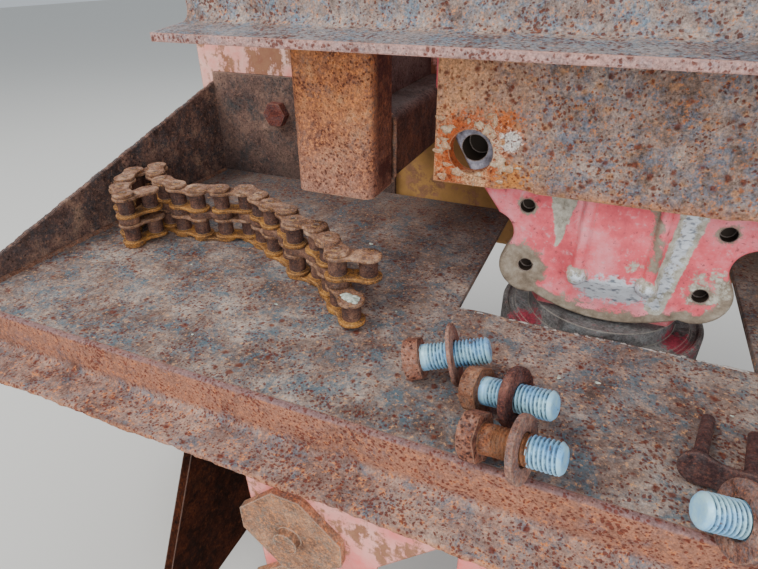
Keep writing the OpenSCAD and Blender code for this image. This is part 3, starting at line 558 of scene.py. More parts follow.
COUNT, CORNER_R = 960, 3.6
edge, inward = cover_outline(COUNT)
core = edge + inward * CORNER_R
rings = [(edge, COVER_REAR - COVER_FACE)]
rings += [(edge + inward * CORNER_R * (1 - math.cos(drop)), CORNER_R * (1 - math.sin(drop)))
          for drop in np.linspace(0, np.pi / 2, 6)]
middle = np.array([0.0, COVER_MID])
rings += [(core + (middle - core) * share, 0.0) for share in np.linspace(0, 0.985, 90)[1:]]
flat = np.stack([ring for ring, _ in rings])
drop = np.array([low for _, low in rings])[:, None]
x, z = flat[..., 0], flat[..., 1]
rough_cast = 0.16 * waves(x * 0.8 + z, 23, 1.7) + 0.12 * waves(z, 11, 0.4)
rise = cover_rise(x, z) - drop + np.where(drop > 0, 0, rough_cast - 0.28)
rise[0] = COVER_FACE - COVER_REAR
rise = np.where(z > 150, np.minimum(rise, PLATEAU - drop), rise)
surface = np.stack([x, COVER_FACE - np.minimum(rise, 2 * KNOB_R), z], axis=-1)
points = np.concatenate([surface.reshape(-1, 3), [surface[-1].mean(axis=0), [0.0, COVER_REAR, COVER_MID]]])
rim_at = np.arange(COUNT)
inner = (len(rings) - 1) * COUNT + rim_at
faces = grid_faces(len(rings), COUNT, wrap=True)
faces += np.stack([inner, np.roll(inner, -1), np.full(COUNT, len(points) - 2)], axis=1).tolist()
faces += np.stack([np.roll(rim_at, -1), rim_at, np.full(COUNT, len(points) - 1)], axis=1).tolist()
cover = mesh_from("gearbox_cover_casting", points * MM, faces)

# Each hole of the cover is its place, its radius and the level of its floor. The ears and the
# lower bolt holes end inside the metal, and shade is painted into them below.
EAR_X, EAR_Z, WAIST_X, WAIST_Z, EAR_R, BOLT_HOLE_R, CUT_FROM = 64, 44.5, 68.5, 95.5, 5.5, 9.8, -290
drillings = [(side * x, z, radius, floor) for side in (-1, 1) for x, z, radius, floor in (
    (EAR_X, EAR_Z, EAR_R, -248), (WAIST_X, WAIST_Z, EAR_R, -248), (HOLE_X, HOLE_Z, BOLT_HOLE_R, -245),
    (HOLE_X, 321, BOLT_HOLE_R, -230))]
around = full_turn(48)
cutters = []
for x, z, radius, floor in drillings + [(0, 292, 20.5, -230)]:
    hole = np.zeros((2, len(around), 3))
    hole[..., 0] = x + radius * np.cos(around)
    hole[..., 1] = [[CUT_FROM], [floor]]
    hole[..., 2] = z + radius * np.sin(around)
    cutters.append(sweep(hole))
cutter = mesh_from("hole_cutters", *gather(cutters))
drill = cover.modifiers.new("holes", "BOOLEAN")
drill.object = cutter
drill.solver = "MANIFOLD"
drilled = bpy.data.meshes.new_from_object(cover.evaluated_get(bpy.context.evaluated_depsgraph_get()))
cover.modifiers.clear()
cover.data = drilled
bpy.data.objects.remove(cutter)
cover.data.set_sharp_from_angle(angle=math.radians(32))

# Where the coat is worn, where dirt lies and where shade is painted into the holes: masks over
# the cover from distances in mm to its holes, rim, knobs, the rubbed flank, the clean wedge,
# the band between the knobs and a streak of dirt.
spot = np.zeros(len(drilled.vertices) * 3)
drilled.vertices.foreach_get("co", spot)
x, _, z = spot.reshape(-1, 3).T / MM
left_seat = np.hypot(x + HOLE_X, z - HOLE_Z)
holes = np.minimum(np.hypot(np.abs(x) - EAR_X, z - EAR_Z), np.hypot(np.abs(x) - WAIST_X, z - WAIST_Z))
rim = np.where(np.abs(x) < 56, z - BELLY_Z + np.sqrt(np.clip(BELLY_R ** 2 - x ** 2, 0, None)),
               LOBE_R - np.hypot(np.abs(x) - LOBE_X, z - LOBE_Z))
from_flank, down = to_segment(x, z, (45.5, 110), (36.5, 29))
x, z = x + 1.6 * waves(z, 60, 1.0), z + 1.6 * waves(x, 50, 2.0)
from_wedge, fall = to_segment(x, z, (-43.5, 112), (-41.5, 66))
from_band, _ = to_segment(x, z, (-12, 40), (21, 38))
from_streak, _ = to_segment(x, z, (19, 112), (30, 64))
from_knob = np.minimum(np.hypot(x + 22.5, z - 47), np.hypot(x - 26, z - 47))
from_patch = np.hypot((x - 16) / 1.3, (z - 63) / 1.2)
masks = {
    "bare": [fade(from_flank - 9.5 + 2 * down, 2), fade(from_wedge - 11 + 10 * fall, 2),
             0.75 * fade(from_patch - 6, 8), fade(from_knob - 8, 3),
             0.5 * fade(np.hypot(x - 66, z - 52) - 22, 11)],
    "seat": [fade(left_seat - 21, 3)],
    "scratched": [fade(from_band - 11.5, 13), fade(np.hypot(x - 6, z - 44) - 9, 9),
                  0.7 * fade(from_knob - 6, 6), 0.9 * fade(from_flank - 5.5 + 1.5 * down, 6)],
    "grime": [fade(np.hypot(x + 68, z - 42) - 21, 8), 0.75 * fade(np.hypot(x - EAR_X, z - EAR_Z) - 12, 6),
              fade(rim - 10.5, 6) * fade(z - 62, 12), 0.9 * fade(from_streak - 4, 7), fade(z - 26, 10) * 0.6,
              0.9 * fade(holes - 8, 4)],
    # bore is painted shade inside the ear and waist holes and the left bolt hole.
    "bore": [fade(np.minimum(holes - 6.0, left_seat - 10.2), 0.5)]}
for name, shares in masks.items():
    layer = drilled.attributes.new(name, "FLOAT", "POINT")
    layer.data.foreach_set("value", np.maximum.reduce(shares).astype(np.float32))


def cast_paint(name, coat, faded, deep):
    """Chalked paint on cast iron. Clouds of the faded coat lie over the strong one, with
    chalk and dark specks where the skin has blown. The masks grime, bare, scratched, seat
    and bore bring up tan dirt, grey iron, bright scratches, the polished seat of a bolt head
    and painted shade inside a hole, all broken up by noise."""
    material, tree, place = blank(name)
    cloud = add(tree, "TexNoise", {"Vector": place, "Scale": 1000 / 38, "Detail": 9.0, "Roughness": 0.68})
    speck = add(tree, "TexNoise", {"Vector": place, "Scale": 1000 / 5.5, "Detail": 8.0, "Roughness": 0.74})
    broken = add(tree, "TexNoise", {"Vector": place, "Scale": 1000 / 11, "Detail": 8.0, "Roughness": 0.72})
    drawn = add(tree, "VectorMath", {0: place, 1: (0.4, 1.0, 1.0)}, operation="MULTIPLY")
    lines = add(tree, "TexNoise", {"Vector": drawn, "Scale": 1000 / 2.2, "Detail": 5.0})
    colour = add(tree, "ValToRGB", {0: cloud}, stops=((0.34, deep), (0.46, coat), (0.62, faded)))
    for start, end, share, code in ((0.55, 0.68, 0.6, "e9c3c6"), (0.41, 0.34, 0.8, "7a4b46")):
        mask = add(tree, "MapRange", {0: speck, 1: start, 2: end, 4: share})
        colour = add(tree, "Mix", {0: mask, 6: colour, 7: linear(code)}, out=2, data_type="RGBA")
    shares = {}
    for mask, noise, stops in (
            ("grime", broken, ((0.3, "65584a"), (0.5, "918270"), (0.68, "b1a594"))),
            ("bare", speck, ((0.36, "8b8577"), (0.5, "bdb7a6"), (0.66, "dad8ca"))),
            ("scratched", lines, ((0.36, "868e98"), (0.48, "e4ebf2"))),
            ("seat", broken, ((0.36, "5a575e"), (0.5, "92929f"), (0.64, "cbcddc"))),
            # bore: a flat dark colour as painted shade inside the holes.
            ("bore", None, "33281f")):
        value = add(tree, "Attribute", out="Fac", attribute_name=mask)
        value = add(tree, "Math", {0: broken, 1: 1.1, 2: value}, operation="MULTIPLY_ADD")
        value = add(tree, "Math", {0: speck, 1: 0.7, 2: value}, operation="MULTIPLY_ADD")
        shares[mask] = add(tree, "MapRange", {0: value, 1: 1.34, 2: 1.5})
        tint = add(tree, "ValToRGB", {0: noise}, stops=stops) if noise else linear(stops)
        colour = add(tree, "Mix", {0: shares[mask], 6: colour, 7: tint}, out=2, data_type="RGBA")
    soft, turned = edge_turn(tree, 1.6)
    worn = add(tree, "MapRange", {0: turned, 1: 0.97, 2: 0.86, 4: 0.8})
    colour = add(tree, "Mix", {0: worn, 6: colour, 7: linear("b9a79c")}, out=2, data_type="RGBA")
    height = add(tree, "Math", {0: speck, 1: 0.9, 2: cloud}, operation="MULTIPLY_ADD")
    height = add(tree, "Math", {0: shares["bare"], 1: -0.3, 2: height}, operation="MULTIPLY_ADD")
    sheen = add(tree, "Mix", {0: shares["scratched"], 2: 0.72, 3: 0.5}, data_type="FLOAT")
    metal = add(tree, "Math", {0: shares["scratched"], 1: 0.4}, operation="MULTIPLY")
    skin(tree, colour, sheen, height, 0.7, 0.8, soft, Metallic=metal, Specular_IOR_Level=0.35)
    return material


cover_paint = cast_paint("chalked_red_casting", "f66a74", "ff9ca4", "da5762")
drilled.materials.clear()
drilled.materials.append(cover_paint)
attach(cover, "frame")
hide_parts("gearbox_front_case")
# The rear case has the cover's paint; its duller, darker copy here is painted shade.
rear_paint = cast_paint("shaded_red_casting", "cc666b", "e09092", "9a474c")
dress(rear_paint, "gearbox_rear_case")


# Round base of the gearbox: turned cast iron bolted under the case, black-brown with grease
# and dust, its grooved neck rubbed grey and some crimson left where nothing rubbed.
base_iron = rusted_steel(
    "grimy_cast_base", ("3a3432", "565150", "706d6b", "8b8884"), film="757879", bloom="743c3e",
    pit="2a1d1b", patch=58, film_share=0.4, bloom_share=0.26, pit_size=3.0, pit_share=0.2, relief=0.35,
    edge="a39a8e", edge_share=0.9, rough=0.72,
    halos=(((-58, -252, -12), 24, "8c2b3c", 0.6), ((62, -240, -14), 26, "8c2b3c", 0.6)))
dress(base_iron, "gearbox_base")


# Bearing cap, shafts and sprocket: turned steel, greyed and lightly rusted, brightest where
# the couplings run.
def turned_steel(name, bright, dull, spot, share, rough=0.34, metal_share=0.85):
    """Machined or plated steel: a bright metal dulled in clouds, with rust spots over a share
    of it. Where a mesh has the groove mask, a dark blue-grey painted shade fills it in patches."""
    material, tree, place = blank(name)
    cloud = add(tree, "TexNoise", {"Vector": place, "Scale": 1000 / 16, "Detail": 8.0, "Roughness": 0.66})
    speck = add(tree, "TexNoise", {"Vector": place, "Scale": 1000 / 3.2, "Detail": 7.0, "Roughness": 0.7})
    both = add(tree, "Math", {0: speck, 1: 0.8, 2: cloud}, operation="MULTIPLY_ADD")
    rust = add(tree, "MapRange", {0: both, 1: 0.74 + 0.3 * share, 2: 0.66 + 0.3 * share})
    groove = add(tree, "Attribute", out="Fac", attribute_name="groove")
    patchy = add(tree, "MapRange", {0: speck, 1: 0.3, 2: 0.55})
    hollow_shade = add(tree, "Math", {0: groove, 1: patchy}, operation="MULTIPLY")
    colour = add(tree, "ValToRGB", {0: cloud}, stops=((0.38, dull), (0.6, bright)))
    # The second colour is painted shade in the thread's hollows.
    for mask, code in ((rust, spot), (hollow_shade, "43566a")):
        colour = add(tree, "Mix", {0: mask, 6: colour, 7: linear(code)}, out=2, data_type="RGBA")
    metal = add(tree, "MapRange", {0: rust, 3: metal_share, 4: 0.0})
    sheen = add(tree, "MapRange", {0: rust, 3: rough, 4: 0.85})
    soft = add(tree, "Bevel", {"Radius": 0.7 * MM}, samples=4)
    skin(tree, colour, sheen, both, 0.25, 0.6, soft, Metallic=metal)
    return material


shaft_steel = turned_steel("bright_turned_shaft", "b9bcc0", "85807c", "7a5240", share=0.3)
dress(shaft_steel, "input_shaft")
cap_iron = turned_steel("grey_bearing_cap", "8d8984", "66605b", "6b4a3a", share=0.5, rough=0.5)
dress(cap_iron, "input_cap", "output_sprocket")
fastener_rust = rusted_steel(
    "dark_red_fastener", ("4a2522", "67332d", "7e4439", "97614e"), film="5e5456", bloom="8f5038",
    pit="2e1614", patch=22, pit_size=2.4, pit_share=0.3, relief=0.3, edge="a77a64")
dress(fastener_rust, "wall_bolts", "upper_bolts", "case_bolts")


# Mounting bolts: forged 3/4 inch hex bolts, their heads pitted red-brown and their rolled
# threads still bright where the plate and nut covered them, their pale sky blue a painted
# reflection of the sky. They lie loose on the shelf.
def on_axis(points, place, heading, lean):
    """Turns points drawn along +X by the lean upwards and the heading round, moves them to
    the place in mm, and gives them back with the way that their axis runs."""
    h, t = math.radians(heading), math.radians(lean)
    tip = np.array([[math.cos(t), 0, -math.sin(t)], [0, 1, 0], [math.sin(t), 0, math.cos(t)]])
    swing = np.array([[math.cos(h), -math.sin(h), 0], [math.sin(h), math.cos(h), 0], [0, 0, 1]])
    return points @ (swing @ tip).T + place, (swing @ tip)[:, 0]


def turned_rows(along, radius, count):
    """Rows of points round the X axis: each row at a place along it, at a radius that may
    also vary with the angle."""
    around = full_turn(count)
    radius = np.broadcast_to(radius, (len(along), count))
    return np.stack([np.broadcast_to(np.asarray(along)[:, None], radius.shape),
                     radius * np.cos(around), radius * np.sin(around)], axis=-1)


# What lies on the shelf rests on rust as thick as REST. The head is HEAD_AF across its flats
# and its corners reach CORNER_TO; its chamfered face starts at FACE_R.
REST, BOLT_SIDES, HEAD_AF, HEAD_H = 0.3, 72, 28.6, 12.0
BOLT_R, BOLT_LENGTH, THREAD_PITCH, THREAD_DEPTH = 9.5, 48.0, 2.54, 1.25
CORNER_TO, FACE_R, CHAMFER = HEAD_AF / 2 * 1.155, HEAD_AF / 2 * 0.93, 1.75
around = np.degrees(full_turn(BOLT_SIDES))
flat_side = HEAD_AF / 2 / np.cos(np.radians((around + 30) % 60 - 30))
head_iron = rusted_steel(
    "pitted_bolt_head", ("4c2d26", "7a4b3b", "9e6d59", "b9917f"), film="6d5c5a", bloom="9d5d40",
    pit="351510", patch=16, film_share=0.34, bloom_share=0.44, pit_size=2.4, pit_share=0.85, relief=0.7,
    edge="b48a72", grain=0.45)
worn_iron = rusted_steel(
    "worn_rusted_bolt", ("553224", "7c4d39", "96654c", "ab7f64"), film="80695d", bloom="a0653f", pit="3c1b14",
    patch=14, pit_size=2.0, pit_share=0.6, relief=0.8, edge="b0805e", grain=0.45)
orange_iron = rusted_steel(
    "rust_orange_shank", ("4a2719", "6d3d28", "8c5335", "a66d49"), film="6f5a50", bloom="a3633a",
    pit="35180f", patch=12, pit_size=1.6, edge="a8764f")
# The threads' pale sky blue, with little metal, is a painted reflection of the sky on bare steel.
thread_steel = turned_steel("bare_thread_painted_sky_reflection", "bff0ff", "7fc8ff", "7d6a60", share=0.06, rough=0.42,
                            metal_share=0.2)
# Each bolt: its place, heading and lean, how far its head is worn, how far behind the head
# its thread starts, and how far its shank is rusted over.
bolts = [(-123, -374, 12, 16.0, 1.6, 3, 0), (-74, -385, -15, 15.0, 3.2, 3, 0),
         (-65, -426.5, -11, 13.0, 1.2, 6, 29.0), (112.5, -426.5, -164, 12.0, 1.0, 3, 0)]
for index, (x, y, heading, lean, worn, start, rusty) in enumerate(bolts):
    # Along the head: the least of the hexagon, its chamfer's cone and its worn corners.
    head = np.array([0.0, 0.0, 0.5, 1.4, 2.6, 4.0, 7.0, 10.0, 11.2, 11.8, HEAD_H, HEAD_H])
    cones = FACE_R + head[:, None] * CHAMFER
    cones[8:11] = (CORNER_TO + 0.4 - np.array([0.0, 0.5, 1.6]))[:, None]
    radius = np.minimum(np.minimum(flat_side[None, :], cones), CORNER_TO - 0.35 * worn)
    pitted = waves(around / 360 * 90 + head[:, None] * 0.9, 15 + index, 2.0)
    radius = radius + 0.10 * worn * np.clip(pitted, -1, 0.2)
    radius[0], radius[1], radius[-1] = 0.02, FACE_R - 0.9, BOLT_R
    # Along the shank: a helix with one triangular tooth to a pitch, deepening from its start.
    shank = np.arange(HEAD_H, HEAD_H + BOLT_LENGTH - 2.0, THREAD_PITCH / 8)
    turns = shank[:, None] / THREAD_PITCH - around / 360
    tooth = np.abs((turns % 1.0) * 2 - 1)
    depth = np.clip((tooth - 0.12) / 0.76, 0, 1) * THREAD_DEPTH
    depth = depth * np.clip((shank - HEAD_H - start) / 3.0, 0, 1)[:, None]
    shank_radius = BOLT_R - depth - 0.05 * (1 + waves(shank, 9, 3.0 + index))[:, None]
    end = HEAD_H + BOLT_LENGTH
    tail = np.array([end - 2.0, end - 0.2, end, end, end])
    tail_radius = np.array([BOLT_R - 0.3, BOLT_R - 1.9, BOLT_R - 2.4, BOLT_R - 5.0, 0.02])[:, None]
    rows = np.concatenate([turned_rows(run, wide, BOLT_SIDES) for run, wide in (
        (head, radius), (shank, shank_radius), (tail, tail_radius))])
    place = np.array([x, y, REST + HEAD_AF / 2 * math.cos(math.radians(lean))])
    spots, axis = on_axis(rows, place, heading, lean)
    name = "bolt_%d" % (index + 1)
    bolt = mesh_from(name + "_threaded", spots * MM, grid_faces(len(rows), BOLT_SIDES, wrap=True))
    for material in (head_iron, orange_iron, thread_steel, worn_iron):
        bolt.data.materials.append(material)
    # Each face's material goes by how far along the bolt it lies, and painted shade in the thread by how
    # deep.
    centres = np.zeros(len(bolt.data.polygons) * 3)
    bolt.data.polygons.foreach_get("center", centres)
    along = (centres.reshape(-1, 3) / MM - place) @ axis
    rusty_to = HEAD_H + rusty + 1.5 * waves(np.arange(len(along)), 50, 2.0)
    kind = np.where(along < HEAD_H + 0.05, 3 if index == 1 else 0, np.where(along < rusty_to, 1, 2))
    bolt.data.polygons.foreach_set("material_index", kind.astype(np.int32))
    corner_at = np.zeros(len(bolt.data.vertices) * 3)
    bolt.data.vertices.foreach_get("co", corner_at)
    from_head = corner_at.reshape(-1, 3) / MM - place
    out = np.linalg.norm(from_head - (from_head @ axis)[:, None] * axis, axis=1)
    groove = np.clip((BOLT_R - 0.2 - out) / 0.9, 0, 1) * (from_head @ axis < end - 2.5)
    bolt.data.attributes.new("groove", "FLOAT", "POINT").data.foreach_set("value", groove.astype(np.float32))
    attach(bolt, "frame")
    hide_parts(name)


# Washers: plain steel washers punched from sheet and hung on the bolts, the second one thick
# and dark red, the others thin and red-brown, all with rims rounded and nibbled by rust.
washer_iron = rusted_steel(
    "red_brown_washer", ("4f352e", "77534a", "967062", "b08c7a"), film="7b7070", bloom="a3623f", pit="3f2722",
    patch=18, film_share=0.4, pit_size=1.8, pit_share=0.4, relief=0.35, edge="b79c86")
dark_washer_iron = rusted_steel(
    "dark_red_washer", ("37201f", "4f2c2a", "694039", "84584c"), film="574a4b", bloom="8b4f3a", pit="231211",
    patch=18, pit_size=1.8, pit_share=0.4, relief=0.4, edge="8a6456")
# Each washer: its outer radius, its thickness and how far its rim is rounded. SLACK is half
# its play on the bolt.
WASHER_R, WASHER_T, WASHER_SIDES, SLACK = 20.5, 4.0, 96, 0.55
washers = [(WASHER_R * 1.1, WASHER_T * 0.7, 0.7), (WASHER_R, WASHER_T * 1.5, 1.3),
           (WASHER_R, WASHER_T * 1.05, 0.7), (WASHER_R, WASHER_T, 0.7)]
for index, (rim, thick, soft) in enumerate(washers):
    x, y, heading, lean = bolts[index][:4]
    tilt_cos, tilt_sin = math.cos(math.radians(lean)), math.sin(math.radians(lean))
    bore = BOLT_R + SLACK + 0.2
    section = np.array([(0.0, bore + 0.5), (0.0, rim - soft), (soft * 0.3, rim - soft * 0.3), (soft, rim),
                        (thick - soft, rim), (thick - soft * 0.3, rim - soft * 0.3), (thick, rim - soft),
                        (thick, bore + 0.5), (thick - 0.5, bore), (0.5, bore), (0.0, bore + 0.5)])
    cut = 0.22 * (waves(full_turn(WASHER_SIDES) * 10, 9, 2.0 + index) - 0.8)
    radius = section[:, 1:] + np.where(section[:, 1:] > bore + 2, cut, 0)
    rows = turned_rows(section[:, 0], radius, WASHER_SIDES)
    rows[..., 0] += ((rim + SLACK - HEAD_AF / 2) * tilt_cos + thick * tilt_sin) / tilt_sin
    rows[..., 2] -= SLACK
    spots, _ = on_axis(rows, np.array([x, y, REST + HEAD_AF / 2 * tilt_cos]), heading, lean)
    name = "washer_%d" % (index + 1)
    washer = mesh_from(name + "_punched", spots * MM, grid_faces(len(rows), WASHER_SIDES, wrap=True))
    washer.data.materials.append(dark_washer_iron if index == 1 else washer_iron)
    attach(washer, "frame")
    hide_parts(name)


# Duplex roller chain: pressed waisted plates, rollers and riveted pins of hard steel, mauve
# brown on top where rust dried, ochre along the lower plates, seized in the coil it fell in.
def link_outline(height, waist):
    """Outline of a link plate as 56 points: a round end about each pin hole, joined by two
    hollow arcs that leave the waist as half width, each tangent to both ends."""
    end_r, half = height / 2, PITCH / 2
    hollow_r = (half ** 2 + waist ** 2 - end_r ** 2) / (2 * (end_r - waist))
    meet = math.atan2(waist + hollow_r, half)
    end = np.linspace(meet, 2 * np.pi - meet, 20)
    arc = np.linspace(-(np.pi / 2 - meet), np.pi / 2 - meet, 10)[1:-1]
    left = np.stack([end_r * np.cos(end), end_r * np.sin(end)], axis=1)
    low = np.stack([half + hollow_r * np.sin(arc), -(waist + hollow_r) + hollow_r * np.cos(arc)], axis=1)
    return np.concatenate([left, low, [PITCH, 0] - left, [PITCH, 0] - low])


def link_plate(height, low, thick):
    """One plate of the chain as points and faces: its outline at eight levels, drawn in where
    the edges are bevelled and further in at both faces."""
    outline = link_outline(height, height * 0.385)
    away = outline - [PITCH / 2, 0.0]
    away = away / np.linalg.norm(away, axis=1, keepdims=True)
    rows = np.stack([
        np.column_stack([outline - away * inset, np.full(len(outline), low + level)]) for inset, level in (
            (4.0, 0.0), (BEVEL, 0.0), (0.12, BEVEL * 0.4), (0, BEVEL), (0, thick - BEVEL),
            (0.12, thick - BEVEL * 0.4), (BEVEL, thick), (4.0, thick))])
    faces = grid_faces(8, len(outline), wrap=True)
    faces.append(list(range(len(outline))))
    faces.append(list(range(7 * len(outline), 8 * len(outline))))
    return rows.reshape(-1, 3), faces


def upright_turned(profile, count):
    """A piece turned about Z from rows of radius and level, closed when the radii start and
    end near nothing."""
    profile = np.asarray(profile)
    rows = turned_rows(profile[:, 1], profile[:, :1], count)
    return rows[..., [1, 2, 0]].reshape(-1, 3), grid_faces(len(profile), count, wrap=True)


def swung(points, degrees):
    """Points turned about Z by an angle in degrees."""
    h = math.radians(degrees)
    return points @ np.array([[math.cos(h), math.sin(h), 0], [-math.sin(h), math.cos(h), 0], [0, 0, 1]])


PITCH, LINK_T, ROLLER_W, ROLLER_R, PIN_R, OUTER_H, INNER_H = 26.0, 3.1, 15.75, 7.95, 4.0, 21.0, 23.0
STRAND_STEP, GAP, BEVEL, LAST_TURN, PIN_SIDES, ROLLER_SIDES = 29.3, 0.3, 0.55, -40, 20, 28
# The heading of each link in degrees, along the coil that the chain lies in.
headings = [-108, 142, 126, 112, 60, -50, -32, -16, -1, 19, 22, -23, -30, -20, -45, -8, -39, -46, 17]
steps = np.radians(headings)
strides = np.cumsum(PITCH * np.stack([np.cos(steps), np.sin(steps)], 1), axis=0)
joints = np.concatenate([[[0.0, 0.0]], strides]) + [-458.0, -262.0]
# The two strands stand on each other: the level of each one's lowest inner plate, and the rise
# from there to the outer plate over it. Below them is the lowest outer plate, at REST.
strands = (REST + LINK_T + GAP, REST + LINK_T + GAP + STRAND_STEP)
OVER = 2 * LINK_T + ROLLER_W + GAP
PIN_TOP = strands[1] + OVER + LINK_T
# Link plates as the level they start at, their thickness and the number of their material.
stack = {"outer": [(REST, LINK_T, 1), (strands[0] + OVER, STRAND_STEP - OVER - GAP, 2),
                   (strands[1] + OVER, LINK_T, 0)],
         "inner": [(strand + rise, LINK_T, number) for strand in strands
                   for rise, number in ((0, 1), (LINK_T + ROLLER_W, 0))]}


def chain_part(kind):
    """Gathers every plate, roller and pin end of the outer or inner links into parts, and
    one material number for each face. A pin end has painted shade in its dimple: its first
    two rows of faces take the dark roller material. The last link's lower strand has turned by itself."""
    parts, numbers = [], []
    dimple = [(0.02, 0.15), (1.9, 0.15), (2.6, 0.85), (3.4, 0.95), (3.95, 0.55), (PIN_R, -0.15)]
    for i in range(1 if kind == "outer" else 0, len(headings), 2):
        items = [(link_plate(OUTER_H if kind == "outer" else INNER_H, low, thick), [number], low, 0)
                 for low, thick, number in stack[kind]]
        for hole in (0, PITCH):
            if kind == "outer":
                pin_end = [(radius, PIN_TOP + rise) for radius, rise in dimple]
                # The dimple's floor and wall take the roller's dark rust as painted shade.
                numbers_of_pin = [3] * (2 * PIN_SIDES) + [0]
                items.append((upright_turned(pin_end, PIN_SIDES), numbers_of_pin, PIN_TOP, hole))
                continue
            for low in strands:
                base, top = low + LINK_T, low + LINK_T + ROLLER_W
                roller = [(ROLLER_R - 0.9, base + 0.1), (ROLLER_R, base + 0.9), (ROLLER_R, top - 0.9),
                          (ROLLER_R - 0.9, top - 0.1)]
                items.append((upright_turned(roller, ROLLER_SIDES), [3], low, hole))
        for (spots, patches), number, low, hole in items:
            alone = i == len(headings) - 1 and low < strands[1]
            spots = swung(spots + [hole, 0, 0], LAST_TURN if alone else headings[i])
            parts.append((spots + [*joints[i], 0], patches))
            numbers += number + number[-1:] * (len(patches) - len(number))
    return parts, numbers


plate_top_steel = rusted_steel(
    "mauve_chain_plate", ("38231c", "6b4738", "a07c68", "caa68a"), film="64534e", bloom="b9803f",
    pit="2e1a15", patch=20, film_share=0.4, pit_size=2.0, pit_share=0.4, relief=0.35, edge="b08a5c",
    grain=0.34)
plate_low_steel = rusted_steel(
    "ochre_chain_plate", ("4a3020", "79512e", "a67038", "cd9548"), film="6f5844", bloom="c07f36",
    pit="33211a", patch=18, pit_size=2.0, relief=0.4, edge="d09a5c", edge_share=1.0)
plate_mid_steel = rusted_steel(
    "layered_chain_plate", ("38241e", "5b3d31", "7c5745", "9c735a"), film="5a4c48", bloom="825a42",
    pit="251715", patch=20, pit_size=2.0, pit_share=0.4, relief=0.4, edge="92765f")
roller_steel = rusted_steel(
    "grey_brown_roller", ("2c1a17", "4a3029", "6a493c", "8a6652"), film="493d3b", bloom="74503c",
    pit="2b1e1b", patch=18, pit_size=1.8, pit_share=0.35, relief=0.3, edge="a59486", rough=0.7)
for kind in ("outer", "inner"):
    parts, numbers = chain_part(kind)
    points, faces = gather(parts)
    chain = mesh_from("chain_%s_links_pressed" % kind, points * MM, faces, merge=False)
    for material in (plate_top_steel, plate_low_steel, plate_mid_steel, roller_steel):
        chain.data.materials.append(material)
    chain.data.polygons.foreach_set("material_index", np.array(numbers, np.int32))
    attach(chain, "frame")
    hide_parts("chain_%s_links" % kind)


# Connecting link of the chain: one plate on its edge and two long pins driven out of the
# strands, near black where oil dried on them.
# The plate's middle stands PLATE_MID high, and the pins slope until their ends touch the shelf.
PIN_LENGTH, PLATE_MID = PIN_TOP - LINK_T - REST, 11.5
pin = [(0.02, 0.0), (PIN_R - 0.6, 0.0), (PIN_R, -0.6), (PIN_R, 0.8 - PIN_LENGTH),
       (PIN_R - 0.9, 0.1 - PIN_LENGTH), (0.02, 0.1 - PIN_LENGTH)]
spots, patches = upright_turned(pin, ROLLER_SIDES)
spots, faces = gather([link_plate(OUTER_H, 0.0, LINK_T), (spots, patches), (spots + [PITCH, 0, 0], patches)])
spots = np.stack([spots[:, 0], -spots[:, 2], spots[:, 1]], axis=1)
droop = -math.asin((PLATE_MID - PIN_R) / PIN_LENGTH)
c, s = math.cos(droop), math.sin(droop)
spots = swung(spots @ np.array([[1, 0, 0], [0, c, s], [0, -s, c]]), -12) + [62.6, -397.3, REST + PLATE_MID]
connecting = mesh_from("connecting_link_pins", spots * MM, faces)
pin_steel = rusted_steel(
    "dark_connecting_link", ("2b1c1c", "40292a", "5a3c38", "75524a"), film="4d4546", bloom="6d4234",
    pit="1c1011", patch=22, pit_size=2.0, pit_share=0.35, relief=0.3, edge="86685c", rough=0.7)
connecting.data.materials.append(pin_steel)
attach(connecting, "frame")
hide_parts("connecting_link")


# Loose scale, slag, lime crust and grit: flakes of rust that curl off the mounting plate at
# its left bolt hole, slag beads that the torch left along the front of the opening, a pale
# crust on the chain's end link and a few pale crumbs on the shelf.
def lumps(name, centres, sizes, facing, seed):
    """Irregular flattened lumps as one mesh: 7 rings of 14 points of a squashed ball about
    each centre in mm, swollen and dented by waves. Sizes are half widths along X, Y and Z;
    where facing is Y the lumps lie flat on an upright face."""
    turn = full_turn(14)
    rise = np.linspace(-np.pi / 2, np.pi / 2, 7)
    ball = np.stack([np.cos(rise)[:, None] * np.cos(turn), np.cos(rise)[:, None] * np.sin(turn),
                     np.broadcast_to(np.sin(rise)[:, None], (7, 14))], axis=-1)
    centres, sizes = np.asarray(centres, float), np.asarray(sizes, float)
    phase = np.arange(len(centres))[:, None, None] * 2.3 + seed
    swell = 1 + 0.32 * waves(turn * 10 + phase * 7, 23, 1.0) + 0.1 * waves(rise[:, None] * 9 + phase, 7, 2.0)
    points = ball[None] * swell[..., None]
    if facing == "Y":
        points = points[..., [0, 2, 1]]
    points = points * sizes[:, None, None, :] + centres[:, None, None, :]
    skins = grid_faces(7, 14, wrap=True)
    points, faces = gather([(lump.reshape(-1, 3), skins) for lump in points])
    return mesh_from(name, points * MM, faces)


